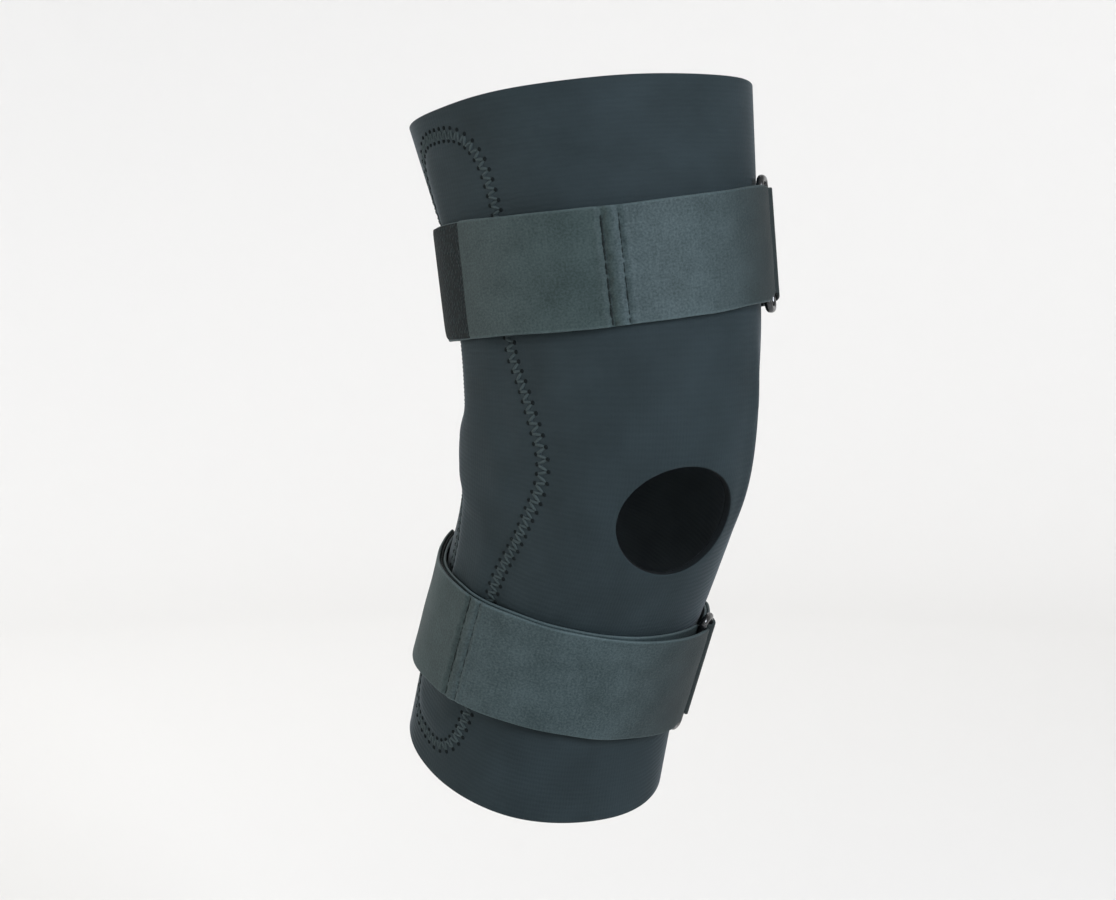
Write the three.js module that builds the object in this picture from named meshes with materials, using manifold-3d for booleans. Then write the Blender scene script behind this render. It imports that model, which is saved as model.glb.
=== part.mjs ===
// Hinged knee brace: a neoprene sleeve with an open patella, a hinge stay sewn into a pocket on each side,
// and two straps that each pass through a ring and fasten back over themselves.
// Millimetres, +Z up, front -Y, lateral side -X.
// The origin lies on the knee's axis, midway between the hinges.
import * as THREE from 'three';
import { mergeVertices } from 'three/addons/utils/BufferGeometryUtils.js';
import Module from 'manifold-3d';

const wasm = await Module();
wasm.setup();

const { clamp, degToRad, euclideanModulo, lerp, smoothstep } = THREE.MathUtils;

// Clearance between neighbouring pieces
const GAP = 0.3;

// The leg's line: straight thigh and shank, joined by one arc. Stations are measured along it from the knee.
const THIGH_TILT = degToRad(9.7);
const SHANK_TILT = degToRad(25.7);
const BEND_HALF_LENGTH = 70;

// Outside of the sleeve at each station, from the leg's line to the two sides, the front and the back.
// The rows at -92, 80 and 104 lie under the straps, which draw the sleeve in a little.
const SECTION_ROUNDNESS = 2.14;
const SECTIONS = [
  { station: -160, lateral: 59.2, medial: 59.2, front: 60.0, back: 55.2 },
  { station: -115, lateral: 57.9, medial: 58.3, front: 50.0, back: 63.0 },
  { station: -92, lateral: 56.2, medial: 57.0, front: 46.9, back: 63.2 },
  { station: -75, lateral: 56.9, medial: 57.6, front: 47.1, back: 65.2 },
  { station: -40, lateral: 58.0, medial: 58.0, front: 55.2, back: 62.0 },
  { station: 0, lateral: 60.6, medial: 60.6, front: 68.5, back: 57.5 },
  { station: 40, lateral: 62.5, medial: 62.5, front: 71.8, back: 58.6 },
  { station: 80, lateral: 64.5, medial: 65.6, front: 72.2, back: 61.4 },
  { station: 104, lateral: 66.5, medial: 67.3, front: 72.0, back: 66.0 },
  { station: 115, lateral: 68.7, medial: 68.6, front: 71.6, back: 69.2 },
  { station: 155, lateral: 76.2, medial: 73.2, front: 69.2, back: 80.7 },
];

// Sleeve: wall, its cut ends (each end sits higher in front by its rise), and the patella hole
const SLEEVE_WALL = 3.5;
const SLEEVE_TOP = 153;
const SLEEVE_TOP_RISE = 3.8;
const SLEEVE_BOTTOM = -157.5;
const SLEEVE_BOTTOM_RISE = 2.8;
const SLEEVE_ROWS = 26;
const SLEEVE_COLUMNS = 38;
const HOLE = { station: -10.4, x: -1.5, halfWidth: 29.5, halfHeight: 25.8, tilt: degToRad(-25) };
const HOLE_SEGMENTS = 20;

// Each side has a centre line at one angle; the hinge stay and the straight part of its pocket run along it
const POCKET_ANGLE = 93.5;
const SIDE_TOP = 112;
const SIDE_BOTTOM = -113;
const SIDE_ROWS = 22;
const SIDE_ARC_STEPS = 8;

// Hinge stays inside the pockets: flat arms and a thicker round head on the knee's axis
const HINGE_ARM_HALF_WIDTH = 8;
const HINGE_ARM_THICKNESS = 1.2;
const HINGE_HEAD_RADIUS = 17;
const HINGE_HEAD_THICKNESS = 2.4;
const HINGE_SHOULDER = 11;
const HINGE_COLUMNS = 4;

// Pocket panels: distance from the centre line to the front and the back edge, and round ends
const POCKET_WALL = 1;
const POCKET_END_ROUNDNESS = 3;
const POCKET_END_LENGTH = 30;
const POCKET_END_STEPS = [0.34, 0.6, 0.8, 0.92, 0.985];
const POCKET_COLUMNS = 12;
const POCKET_FLAT_COLUMNS = 2;
const POCKET_FLAT_MARGIN = 1;
const POCKET_FLAT_SHARE = 0.7;
const POCKET_SLOPE_END = 0.8;
const POCKET_EDGES = [
  { station: -113, front: 21.5, back: 26 },
  { station: -70, front: 17, back: 22 },
  { station: -45, front: 19.5, back: 22 },
  { station: -20, front: 30.5, back: 25 },
  { station: 5, front: 40, back: 28 },
  { station: 30, front: 32.5, back: 25 },
  { station: 50, front: 24, back: 23 },
  { station: 70, front: 25.5, back: 24 },
  { station: 112, front: 28, back: 26 },
];

// Straps: webbing, its hook strip, and the ring that each passes through on the inner front side.
// Angles are in degrees from the front: the ring, the seam where the hook strip starts, and both free ends.
const STRAP_THICKNESS = 1.3;
const HOOK_THICKNESS = 0.9;
const HOOK_INSET = 0.5;
const STRAPS = {
  upper: { width: 50, ring: -42, seam: 30, end: 87, hookEnd: 112 },
  lower: { width: 54, ring: -42, seam: 80, end: 148, hookEnd: 172 },
};
const STRAP_STEP = 6;
const STRAP_CHORD_STEPS = 10;

// Webbing is straight where the leg tapers: its slack edge stands off by this share of the taper
const STRAP_LEAN = 0.6;

// Rings: a round wire, the spacing of the two bars, and the room past the strap's edges
const RING_WIRE_RADIUS = 1.7;
const RING_BAR_SPACING = 10;
const RING_CORNER_RADIUS = 3.5;
const RING_END_ROOM = 1.5;
const RING_PATH_POINTS = 64;
const RING_STEPS = 44;
const RING_SIDES = 7;
const TURN_STEPS = 6;

// Where a strap crosses a pocket it rises over the stay, between these angles from the pocket's centre line
const RISE_TOP_ANGLE = 5;
const RISE_FOOT_ANGLE = 42;

// Over the ring the strap's outer layer stands high; it has come down at this angle
const OUTER_SETTLED_ANGLE = 24;

// Sewn end of a strap: a tail under it, and the way back from over the ring's bar to lie on that tail
const SEWN_TAIL = 22;
const SEWN_RETURN = [
  { behind: 4, part: 0.62 },
  { behind: 8, part: 0.22 },
  { behind: 12, part: 0 },
  { behind: SEWN_TAIL + 2, part: 0 },
];
const SEWN_STEP_DOWN = 7;

// Station of each strap's centre line, by the angle round the leg
const STRAP_LINES = [
  { angle: -180, upper: 81, lower: -100 },
  { angle: -90, upper: 84, lower: -100 },
  { angle: -35, upper: 85.4, lower: -89.5 },
  { angle: 0, upper: 81.8, lower: -85.5 },
  { angle: 35, upper: 79.6, lower: -82.2 },
  { angle: 90, upper: 79.6, lower: -86 },
  { angle: 125, upper: 79, lower: -95 },
  { angle: 180, upper: 81, lower: -100 },
];

// Lift of the middle of each strap layer above the sleeve, from the skin outwards
const BASE_LIFT = GAP + STRAP_THICKNESS / 2;
const DOUBLE_LIFT = BASE_LIFT + STRAP_THICKNESS + GAP;
const HOOK_LIFT = GAP + STRAP_THICKNESS + GAP + HOOK_THICKNESS / 2;
const OUTER_LIFT = HOOK_LIFT + HOOK_THICKNESS / 2 + GAP + STRAP_THICKNESS / 2;
const TURN_RADIUS = RING_WIRE_RADIUS + GAP + STRAP_THICKNESS / 2;
const RING_LIFT = BASE_LIFT + TURN_RADIUS;
const RING_OUTER_LIFT = RING_LIFT + TURN_RADIUS;

const neoprene = { color: 0x323b40, roughness: 0.9, metalness: 0 };
const pocketCloth = { color: 0x353f44, roughness: 0.9, metalness: 0 };
const loopCloth = { color: 0x485a5c, roughness: 0.95, metalness: 0 };
const hookTape = { color: 0x262e30, roughness: 0.7, metalness: 0 };
const glossBlack = { color: 0x0c0e0f, roughness: 0.25, metalness: 0 };
const aluminium = { color: 0xa4a8aa, roughness: 0.4, metalness: 1 };

// Smooth value of a table's column: cubic between rows, with slopes averaged from both sides
function tableValue(rows, key, name, at) {
  const last = rows.length - 1;
  let i = 0;
  while (i < last - 1 && at > rows[i + 1][key]) {
    i += 1;
  }
  const slope = (k) => {
    const low = clamp(k, 0, last - 1);
    return (rows[low + 1][name] - rows[low][name]) / (rows[low + 1][key] - rows[low][key]);
  };
  const span = rows[i + 1][key] - rows[i][key];
  const t = (at - rows[i][key]) / span;
  const startSlope = 0.5 * (slope(i - 1) + slope(i)) * span;
  const endSlope = 0.5 * (slope(i) + slope(i + 1)) * span;
  const rise = rows[i + 1][name] - rows[i][name];
  const bend = t * (1 - t) * (startSlope * (1 - t) - endSlope * t);
  return rows[i][name] + rise * t * t * (3 - 2 * t) + bend;
}

// Point on the leg's line at a station, with the direction to the front there
function legFrame(station) {
  const bend = (THIGH_TILT + SHANK_TILT) / (2 * BEND_HALF_LENGTH);
  const middle = (THIGH_TILT - SHANK_TILT) / 2;
  const onArc = clamp(station, -BEND_HALF_LENGTH, BEND_HALF_LENGTH);
  const tilt = middle + bend * onArc;
  const past = station - onArc;
  const y = (Math.cos(middle) - Math.cos(tilt)) / bend + past * Math.sin(tilt);
  const z = (Math.sin(tilt) - Math.sin(middle)) / bend + past * Math.cos(tilt);
  return {
    centre: new THREE.Vector3(0, y, z),
    upward: new THREE.Vector3(0, Math.sin(tilt), Math.cos(tilt)),
    forward: new THREE.Vector3(0, -Math.cos(tilt), Math.sin(tilt)),
  };
}

// Point over the sleeve: angle in degrees from the front (positive to the lateral side), station, and lift
function skin(angle, station, lift) {
  const { centre, forward } = legFrame(station);
  const rounded = (value) => Math.sign(value) * Math.abs(value) ** (2 / SECTION_ROUNDNESS);
  const aside = -rounded(Math.sin(degToRad(angle)));
  const ahead = rounded(Math.cos(degToRad(angle)));
  const depth = tableValue(SECTIONS, 'station', ahead >= 0 ? 'front' : 'back', station);
  const half = tableValue(SECTIONS, 'station', aside >= 0 ? 'medial' : 'lateral', station);
  centre.x = (half + lift) * aside;
  return centre.addScaledVector(forward, (depth + lift) * ahead);
}

// Angle reached by going a distance round the sleeve from the centre line of one side (1 is lateral,
// -1 medial) towards the front
function angleFromSide(side, station, distance) {
  let angle = POCKET_ANGLE;
  for (let i = 0; i < SIDE_ARC_STEPS; i += 1) {
    const nearFront = skin(side * (angle - 0.5), station, 0);
    const perDegree = nearFront.distanceTo(skin(side * (angle + 0.5), station, 0));
    angle -= distance / SIDE_ARC_STEPS / perDegree;
  }
  return side * angle;
}

// Closed wall between two grids of points, an outer and an inner one, that may join up round its columns
function wall(rows, columns, joinsUp, pointAt) {
  const corners = [];
  for (const side of [0, 1]) {
    for (let row = 0; row < rows; row += 1) {
      for (let column = 0; column < columns; column += 1) {
        corners.push(pointAt(row, column, side));
      }
    }
  }
  const index = [];
  const corner = (row, column, side) => (side * rows + row) * columns + (column % columns);
  const face = (a, b, c, d) => index.push(a, b, c, a, c, d);
  const lastColumn = joinsUp ? columns : columns - 1;
  for (let row = 0; row < rows - 1; row += 1) {
    for (let column = 0; column < lastColumn; column += 1) {
      const at = (side, r, c) => corner(row + r, column + c, side);
      face(at(0, 0, 0), at(0, 0, 1), at(0, 1, 1), at(0, 1, 0));
      face(at(1, 0, 0), at(1, 1, 0), at(1, 1, 1), at(1, 0, 1));
    }
  }
  for (let column = 0; column < lastColumn; column += 1) {
    const top = rows - 1;
    const next = column + 1;
    face(corner(0, column, 1), corner(0, next, 1), corner(0, next, 0), corner(0, column, 0));
    face(corner(top, column, 0), corner(top, next, 0), corner(top, next, 1), corner(top, column, 1));
  }
  for (let row = 0; row < rows - 1 && !joinsUp; row += 1) {
    const end = columns - 1;
    face(corner(row, 0, 1), corner(row, 0, 0), corner(row + 1, 0, 0), corner(row + 1, 0, 1));
    face(corner(row, end, 0), corner(row, end, 1), corner(row + 1, end, 1), corner(row + 1, end, 0));
  }
  return outwards(new THREE.BufferGeometry().setFromPoints(corners).setIndex(index));
}

// The same closed mesh with its faces turned outwards
function outwards(geometry) {
  const place = geometry.getAttribute('position');
  const index = Array.from(geometry.getIndex().array);
  const at = (i) => new THREE.Vector3().fromBufferAttribute(place, i);
  let volume = 0;
  for (let i = 0; i < index.length; i += 3) {
    volume += at(index[i]).dot(at(index[i + 1]).cross(at(index[i + 2])));
  }
  if (volume < 0) {
    index.reverse();
  }
  return geometry.setIndex(index);
}

function merged(geometry) {
  geometry.deleteAttribute('normal');
  geometry.deleteAttribute('uv');
  return mergeVertices(geometry, 1e-3);
}

function toManifold(geometry) {
  const vertProperties = new Float32Array(geometry.getAttribute('position').array);
  const triVerts = new Uint32Array(geometry.getIndex().array);
  return new wasm.Manifold(new wasm.Mesh({ numProp: 3, vertProperties, triVerts }));
}

function fromManifold(solid) {
  const mesh = solid.getMesh();
  const geometry = new THREE.BufferGeometry();
  geometry.setAttribute('position', new THREE.BufferAttribute(mesh.vertProperties, 3));
  return geometry.setIndex(new THREE.BufferAttribute(mesh.triVerts, 1));
}

// Sleeve: a hollow tube with an elliptical hole cut through its front
function sleeveGeometry() {
  const tube = wall(SLEEVE_ROWS + 1, SLEEVE_COLUMNS, true, (row, column, side) => {
    const angle = (360 * column) / SLEEVE_COLUMNS;
    const ahead = Math.cos(degToRad(angle));
    const bottom = SLEEVE_BOTTOM + SLEEVE_BOTTOM_RISE * ahead;
    const top = SLEEVE_TOP + SLEEVE_TOP_RISE * ahead;
    return skin(angle, lerp(bottom, top, row / SLEEVE_ROWS), -SLEEVE_WALL * side);
  });
  const { centre, upward, forward } = legFrame(HOLE.station);
  const outline = new THREE.Shape();
  outline.absellipse(HOLE.x, 0, HOLE.halfWidth, HOLE.halfHeight, 0, 2 * Math.PI, false, HOLE.tilt);
  const frontDepth = tableValue(SECTIONS, 'station', 'front', HOLE.station);
  const cut = { depth: frontDepth, curveSegments: HOLE_SEGMENTS, bevelEnabled: false };
  const punch = new THREE.ExtrudeGeometry(outline, cut);
  punch.translate(0, 0, frontDepth / 2);
  const turn = new THREE.Matrix4().makeBasis(new THREE.Vector3(1, 0, 0), upward, forward);
  punch.applyMatrix4(turn.setPosition(centre));
  return fromManifold(toManifold(tube).subtract(toManifold(merged(punch))));
}

// Half width of the hinge stay at a station, and its thickness there
function hingeHalfWidth(station) {
  const inHead = HINGE_HEAD_RADIUS ** 2 - station ** 2;
  return Math.max(HINGE_ARM_HALF_WIDTH, Math.sqrt(Math.max(inHead, 0)));
}

function hingeThickness(station) {
  const toArm = smoothstep(Math.abs(station), HINGE_HEAD_RADIUS, HINGE_HEAD_RADIUS + HINGE_SHOULDER);
  return lerp(HINGE_HEAD_THICKNESS, HINGE_ARM_THICKNESS, toArm);
}

// Stations of the rows that the hinge stay and its pocket share
function sideStations() {
  const stations = [];
  for (let row = 0; row <= SIDE_ROWS; row += 1) {
    stations.push(lerp(SIDE_BOTTOM, SIDE_TOP, row / SIDE_ROWS));
  }
  return stations;
}

// Hinge stay on one side, lying on the sleeve under its pocket
function hingeGeometry(side) {
  const stations = sideStations();
  return wall(stations.length, HINGE_COLUMNS + 1, false, (row, column, face) => {
    const station = stations[row];
    const half = hingeHalfWidth(station);
    const distance = lerp(-half, half, column / HINGE_COLUMNS);
    const lift = GAP + hingeThickness(station) * (1 - face);
    return skin(angleFromSide(side, station, distance), station, lift);
  });
}

// Pocket panel on one side: it lies over the hinge stay, falls to the sleeve on both sides of it,
// and rounds off past the stay's ends
function pocketGeometry(side) {
  const below = [...POCKET_END_STEPS].reverse().map((part) => SIDE_BOTTOM - part * POCKET_END_LENGTH);
  const above = POCKET_END_STEPS.map((part) => SIDE_TOP + part * POCKET_END_LENGTH);
  const stations = [...below, ...sideStations(), ...above];
  const middle = POCKET_COLUMNS / 2;
  return wall(stations.length, POCKET_COLUMNS + 1, false, (row, column, face) => {
    const station = stations[row];
    const nearest = clamp(station, SIDE_BOTTOM, SIDE_TOP);
    const past = Math.abs(station - nearest) / POCKET_END_LENGTH;
    const taper = (1 - past ** POCKET_END_ROUNDNESS) ** (1 / POCKET_END_ROUNDNESS);
    const edge = tableValue(POCKET_EDGES, 'station', column < middle ? 'back' : 'front', nearest) * taper;
    const flat = Math.min(hingeHalfWidth(nearest) + POCKET_FLAT_MARGIN, edge * POCKET_FLAT_SHARE);
    const out = Math.abs(column - middle);
    const sloping = Math.max(out - POCKET_FLAT_COLUMNS, 0) / (middle - POCKET_FLAT_COLUMNS);
    const across = Math.min(out / POCKET_FLAT_COLUMNS, 1) * flat + sloping * (edge - flat);
    const fall = Math.max(smoothstep(sloping, 0, POCKET_SLOPE_END), smoothstep(past, 0, POCKET_END_STEPS[0]));
    const inner = GAP + (hingeThickness(nearest) + GAP) * (1 - fall);
    const angle = angleFromSide(side, station, Math.sign(column - middle) * across);
    return skin(angle, station, inner + POCKET_WALL * (1 - face));
  });
}

// Extra lift of a strap where it crosses a pocket, falling away slowly because the strap is taut
function pocketRise(angle) {
  const away = Math.abs(Math.abs(wrapped(angle)) - POCKET_ANGLE);
  const height = GAP + HINGE_ARM_THICKNESS + GAP + POCKET_WALL;
  return height * (1 - smoothstep(away, RISE_TOP_ANGLE, RISE_FOOT_ANGLE));
}

// The same angle between -180 and 180 degrees
function wrapped(angle) {
  return euclideanModulo(angle + 180, 360) - 180;
}

// Point of a strap: straight across its width, at a distance from its centre line and a lift over the sleeve
function strapPoint(name, angle, lift, across) {
  const { width } = STRAPS[name];
  const middle = tableValue(STRAP_LINES, 'angle', name, wrapped(angle));
  const span = skin(angle, middle + width / 2, 0).distanceTo(skin(angle, middle - width / 2, 0));
  const reach = (width * width) / span;
  const at = (part, height) => skin(angle, middle + part * reach, height);
  const outward = at(0, 1).sub(at(0, 0)).normalize();
  const taper = at(0.5, 0).sub(at(-0.5, 0)).dot(outward);
  let bulge = 0;
  for (let i = 1; i < STRAP_CHORD_STEPS; i += 1) {
    const part = i / STRAP_CHORD_STEPS;
    const chord = at(-0.5, 0).lerp(at(0.5, 0), part);
    bulge = Math.max(bulge, at(part - 0.5, 0).sub(chord).dot(outward));
  }
  const height = lift + bulge + pocketRise(angle);
  const low = at(-0.5, height + STRAP_LEAN * Math.max(taper, 0));
  const high = at(0.5, height + STRAP_LEAN * Math.max(-taper, 0));
  return low.lerp(high, across / width + 0.5);
}

// Degrees round the leg that a length takes up at a strap's ring
function ringDegrees(name, length) {
  const { ring } = STRAPS[name];
  const at = (angle) => strapPoint(name, angle, RING_LIFT, 0);
  return length / at(ring + 0.5).distanceTo(at(ring - 0.5));
}

// Ribbon along a path of angles and lifts, as wide as its strap
function ribbonGeometry(name, path, thickness, width) {
  const degrees = ringDegrees(name, 1);
  return wall(path.length, 2, false, (row, column, face) => {
    const before = path[Math.max(row - 1, 0)];
    const after = path[Math.min(row + 1, path.length - 1)];
    const along = new THREE.Vector2((after.angle - before.angle) / degrees, after.lift - before.lift);
    along.normalize();
    const offset = thickness * (face - 0.5);
    const angle = path[row].angle - along.y * offset * degrees;
    const lift = path[row].lift + along.x * offset;
    return strapPoint(name, angle, lift, width * (column - 0.5));
  });
}

// Half turn of a strap round one bar of its ring, from under the bar to over it
function turnRound(name, barAngle, direction) {
  const points = [];
  for (let i = 0; i <= TURN_STEPS; i += 1) {
    const swing = (Math.PI * i) / TURN_STEPS;
    const angle = barAngle + direction * ringDegrees(name, TURN_RADIUS * Math.sin(swing));
    points.push({ angle, lift: RING_LIFT - TURN_RADIUS * Math.cos(swing) });
  }
  return points;
}

// Strap: a sewn loop round the ring's back bar, once round the leg, then round the front bar
// and back over itself to its end
function strapGeometry(name) {
  const { width, ring, end } = STRAPS[name];
  const degrees = (length) => ringDegrees(name, length);
  const backBar = ring - degrees(RING_BAR_SPACING / 2);
  const frontBar = ring + degrees(RING_BAR_SPACING / 2) - 360;
  const path = [{ angle: backBar - degrees(SEWN_TAIL), lift: BASE_LIFT }];
  path.push({ angle: backBar - degrees(SEWN_TAIL / 2), lift: BASE_LIFT });
  path.push(...turnRound(name, backBar, 1));
  for (const { behind, part } of SEWN_RETURN) {
    path.push({ angle: backBar - degrees(behind), lift: lerp(DOUBLE_LIFT, RING_OUTER_LIFT, part) });
  }
  const roundStart = backBar - degrees(SEWN_TAIL + 2 + SEWN_STEP_DOWN);
  path.push(...run(roundStart, frontBar + degrees(TURN_RADIUS), () => BASE_LIFT));
  path.push(...turnRound(name, frontBar, -1));
  const backStart = frontBar + degrees(2 * TURN_RADIUS);
  path.push(...run(backStart, end - 360, (angle) => {
    const down = smoothstep(angle, backStart, OUTER_SETTLED_ANGLE - 360);
    return lerp(RING_OUTER_LIFT, OUTER_LIFT, down);
  }));
  return ribbonGeometry(name, path, STRAP_THICKNESS, width);
}

// Even steps of a path between two angles, with the lift at each
function run(from, to, liftAt) {
  const steps = Math.ceil(Math.abs(to - from) / STRAP_STEP);
  const points = [];
  for (let i = 0; i <= steps; i += 1) {
    const angle = lerp(from, to, i / steps);
    points.push({ angle, lift: liftAt(angle) });
  }
  return points;
}

// Hook strip: under the strap's end from its seam, and on past that end
function hookGeometry(name) {
  const { width, seam, hookEnd } = STRAPS[name];
  return ribbonGeometry(name, run(seam, hookEnd, () => HOOK_LIFT), HOOK_THICKNESS, width - 2 * HOOK_INSET);
}

// Ring: a round wire bent to a rectangle with round corners, its long bars across the strap
function ringGeometry(name) {
  const { width, ring } = STRAPS[name];
  const halfLong = width / 2 + RING_END_ROOM + RING_WIRE_RADIUS;
  const halfShort = RING_BAR_SPACING / 2;
  const r = RING_CORNER_RADIUS;
  const outline = new THREE.Path();
  outline.moveTo(halfShort, r - halfLong);
  outline.lineTo(halfShort, halfLong - r);
  outline.absarc(halfShort - r, halfLong - r, r, 0, Math.PI / 2, false);
  outline.lineTo(r - halfShort, halfLong);
  outline.absarc(r - halfShort, halfLong - r, r, Math.PI / 2, Math.PI, false);
  outline.lineTo(-halfShort, r - halfLong);
  outline.absarc(r - halfShort, r - halfLong, r, Math.PI, 1.5 * Math.PI, false);
  outline.lineTo(halfShort - r, -halfLong);
  outline.absarc(halfShort - r, r - halfLong, r, 1.5 * Math.PI, 2 * Math.PI, false);
  const spaced = outline.getSpacedPoints(RING_PATH_POINTS).slice(0, -1);
  const bend = spaced.map((p) => strapPoint(name, ring + ringDegrees(name, p.x), RING_LIFT, p.y));
  const line = new THREE.CatmullRomCurve3(bend, true);
  return merged(new THREE.TubeGeometry(line, RING_STEPS, RING_WIRE_RADIUS, RING_SIDES, true));
}

const brace = new THREE.Group();

function addPiece(name, geometry, finish) {
  const mesh = new THREE.Mesh(geometry, new THREE.MeshStandardMaterial(finish));
  mesh.name = name;
  brace.add(mesh);
}

addPiece('sleeve', sleeveGeometry(), neoprene);
for (const [name, side] of [['lateral', 1], ['medial', -1]]) {
  addPiece(`hinge_${name}`, hingeGeometry(side), aluminium);
  addPiece(`pocket_${name}`, pocketGeometry(side), pocketCloth);
}
for (const name of ['upper', 'lower']) {
  addPiece(`ring_${name}`, ringGeometry(name), glossBlack);
  addPiece(`strap_${name}`, strapGeometry(name), loopCloth);
  addPiece(`hook_tab_${name}`, hookGeometry(name), hookTape);
}

export default brace;
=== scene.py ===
import math
from functools import partial

import bpy
import numpy as np
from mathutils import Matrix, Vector


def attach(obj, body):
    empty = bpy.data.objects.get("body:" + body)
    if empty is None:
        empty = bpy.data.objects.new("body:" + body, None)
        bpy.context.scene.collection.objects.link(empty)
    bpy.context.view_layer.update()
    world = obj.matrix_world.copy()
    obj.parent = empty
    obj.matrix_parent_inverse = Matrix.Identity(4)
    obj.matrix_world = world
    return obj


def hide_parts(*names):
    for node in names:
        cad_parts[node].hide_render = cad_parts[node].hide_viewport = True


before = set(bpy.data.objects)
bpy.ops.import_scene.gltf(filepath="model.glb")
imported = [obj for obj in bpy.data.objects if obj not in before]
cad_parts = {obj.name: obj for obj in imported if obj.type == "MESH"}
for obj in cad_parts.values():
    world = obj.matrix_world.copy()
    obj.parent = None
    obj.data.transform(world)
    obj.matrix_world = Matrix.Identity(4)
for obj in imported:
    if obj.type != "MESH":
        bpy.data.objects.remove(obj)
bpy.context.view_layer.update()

# Sleeve: a tube of neoprene foam, faced inside and out with fine nylon jersey and cut with raw edges.
# It is held stretched, so it lies smooth, the straps draw it in, and it folds a little at the back of its bend.
# An oval hole is cut through its front.
MM = 0.001
UPPER_TILT = math.radians(9.7)
LOWER_TILT = math.radians(25.7)
BEND_HALF_LENGTH = 70
SECTION_ROUNDNESS = 2.14
SLEEVE_WALL = 3.5
SLEEVE_TOP = 153
SLEEVE_TOP_RISE = 3.8
SLEEVE_BOTTOM = -157.5
SLEEVE_BOTTOM_RISE = 2.8
SLEEVE_GIRTH = 400
SLEEVE_COLUMNS = 240
SLEEVE_ROWS = 150
CUT_WANDER = 0.2
EDGE_ROUND = 0.5
EDGE_STEPS = np.array([0, 0.08, 0.25, 0.5])
HOLE_STATION = -10.4
HOLE_X = -1.5
HOLE_HALF_WIDTH = 29.5
HOLE_HALF_HEIGHT = 25.8
HOLE_TILT = math.radians(-25)
HOLE_SOLVE_STEPS = 20
HOLE_FIELD_ANGLES = (-40, 44)
HOLE_FIELD_STATIONS = (-46, 26)
HOLE_RINGS = (0.85, 0.68, 0.52, 0.38, 0.26, 0.16)


def table(columns, *rows):
    """Columns of a table by name, each as an array."""
    return dict(zip(columns.split(), np.array(rows, float).T))


# Outside of the sleeve at each station, from its middle line to the two sides, the front and the back
SECTIONS = table(
    "station lateral medial front back",
    (-160, 59.2, 59.2, 60.0, 55.2),
    (-115, 57.9, 58.3, 50.0, 63.0),
    (-92, 56.2, 57.0, 46.9, 63.2),
    (-75, 56.9, 57.6, 47.1, 65.2),
    (-40, 58.0, 58.0, 55.2, 62.0),
    (0, 60.6, 60.6, 68.5, 57.5),
    (40, 62.5, 62.5, 71.8, 58.6),
    (80, 64.5, 65.6, 72.2, 61.4),
    (104, 66.5, 67.3, 72.0, 66.0),
    (115, 68.7, 68.6, 71.6, 69.2),
    (155, 76.2, 73.2, 69.2, 80.7),
)

# Shallow folds across the back of the bend, where there is cloth to spare, each with a low bank on both sides
BEND_FOLDS = table(
    "station depth half_width slant",
    (24, 1.2, 3.4, 0.09),
    (7, 2.6, 5.0, -0.04),
    (-12, 1.8, 4.0, 0.06),
    (-26, 0.8, 3.2, -0.1),
)
FOLD_START_ANGLE = 136
FOLD_FULL_ANGLE = 168
FOLD_BANK = 0.35
FOLD_BANK_OFFSET = 1.9

# A low ridge in front of the medial pocket, with a dip beside it
RIDGE_ANGLE = -36
RIDGE_STATION = 14
RIDGE_HALF_LENGTH = 32
RIDGE_HALF_WIDTH = 5.5
RIDGE_SLANT = 0.02
RIDGE_HEIGHT = 1.6
RIDGE_DIP = 0.8


def smooth_step(low, high, at):
    t = np.clip((at - low) / (high - low), 0, 1)
    return t * t * (3 - 2 * t)


def smooth_value(rows, name, at):
    """A table's column at places in its first column: cubic between rows, with slopes averaged there."""
    x, y = next(iter(rows.values())), rows[name]
    steps = np.diff(y) / np.diff(x)
    slopes = 0.5 * (np.concatenate([steps[:1], steps]) + np.concatenate([steps, steps[-1:]]))
    i = np.clip(np.searchsorted(x, at) - 1, 0, len(x) - 2)
    span = x[i + 1] - x[i]
    t = (at - x[i]) / span
    bend = t * (1 - t) * (slopes[i] * (1 - t) - slopes[i + 1] * t) * span
    return y[i] + (y[i + 1] - y[i]) * t * t * (3 - 2 * t) + bend


def middle_line(station):
    """Points on the sleeve's middle line at these stations, with the directions up and to the front there."""
    bend = (UPPER_TILT + LOWER_TILT) / (2 * BEND_HALF_LENGTH)
    middle = (UPPER_TILT - LOWER_TILT) / 2
    on_arc = np.clip(station, -BEND_HALF_LENGTH, BEND_HALF_LENGTH)
    tilt = middle + bend * on_arc
    past = station - on_arc
    y = (np.cos(middle) - np.cos(tilt)) / bend + past * np.sin(tilt)
    z = (np.sin(tilt) - np.sin(middle)) / bend + past * np.cos(tilt)
    aside = np.zeros_like(tilt)
    centre = np.stack([aside, y, z], -1)
    upward = np.stack([aside, np.sin(tilt), np.cos(tilt)], -1)
    forward = np.stack([aside, -np.cos(tilt), np.sin(tilt)], -1)
    return centre, upward, forward


def shell(angle, station, lift):
    """Points over the sleeve: degrees from the front, positive to the lateral side, station and lift."""
    angle, station, lift = np.broadcast_arrays(*(np.asarray(v, float) for v in (angle, station, lift)))
    centre, _, forward = middle_line(station)
    turn = np.radians(angle)
    aside = -np.sign(np.sin(turn)) * np.abs(np.sin(turn)) ** (2 / SECTION_ROUNDNESS)
    ahead = np.sign(np.cos(turn)) * np.abs(np.cos(turn)) ** (2 / SECTION_ROUNDNESS)
    columns = ("front", "back", "lateral", "medial")
    front, back, lateral, medial = (smooth_value(SECTIONS, column, station) for column in columns)
    depth = np.where(ahead >= 0, front, back) + lift
    half = np.where(aside >= 0, medial, lateral) + lift
    points = centre + forward * (depth * ahead)[..., None]
    points[..., 0] += half * aside
    return points


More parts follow.
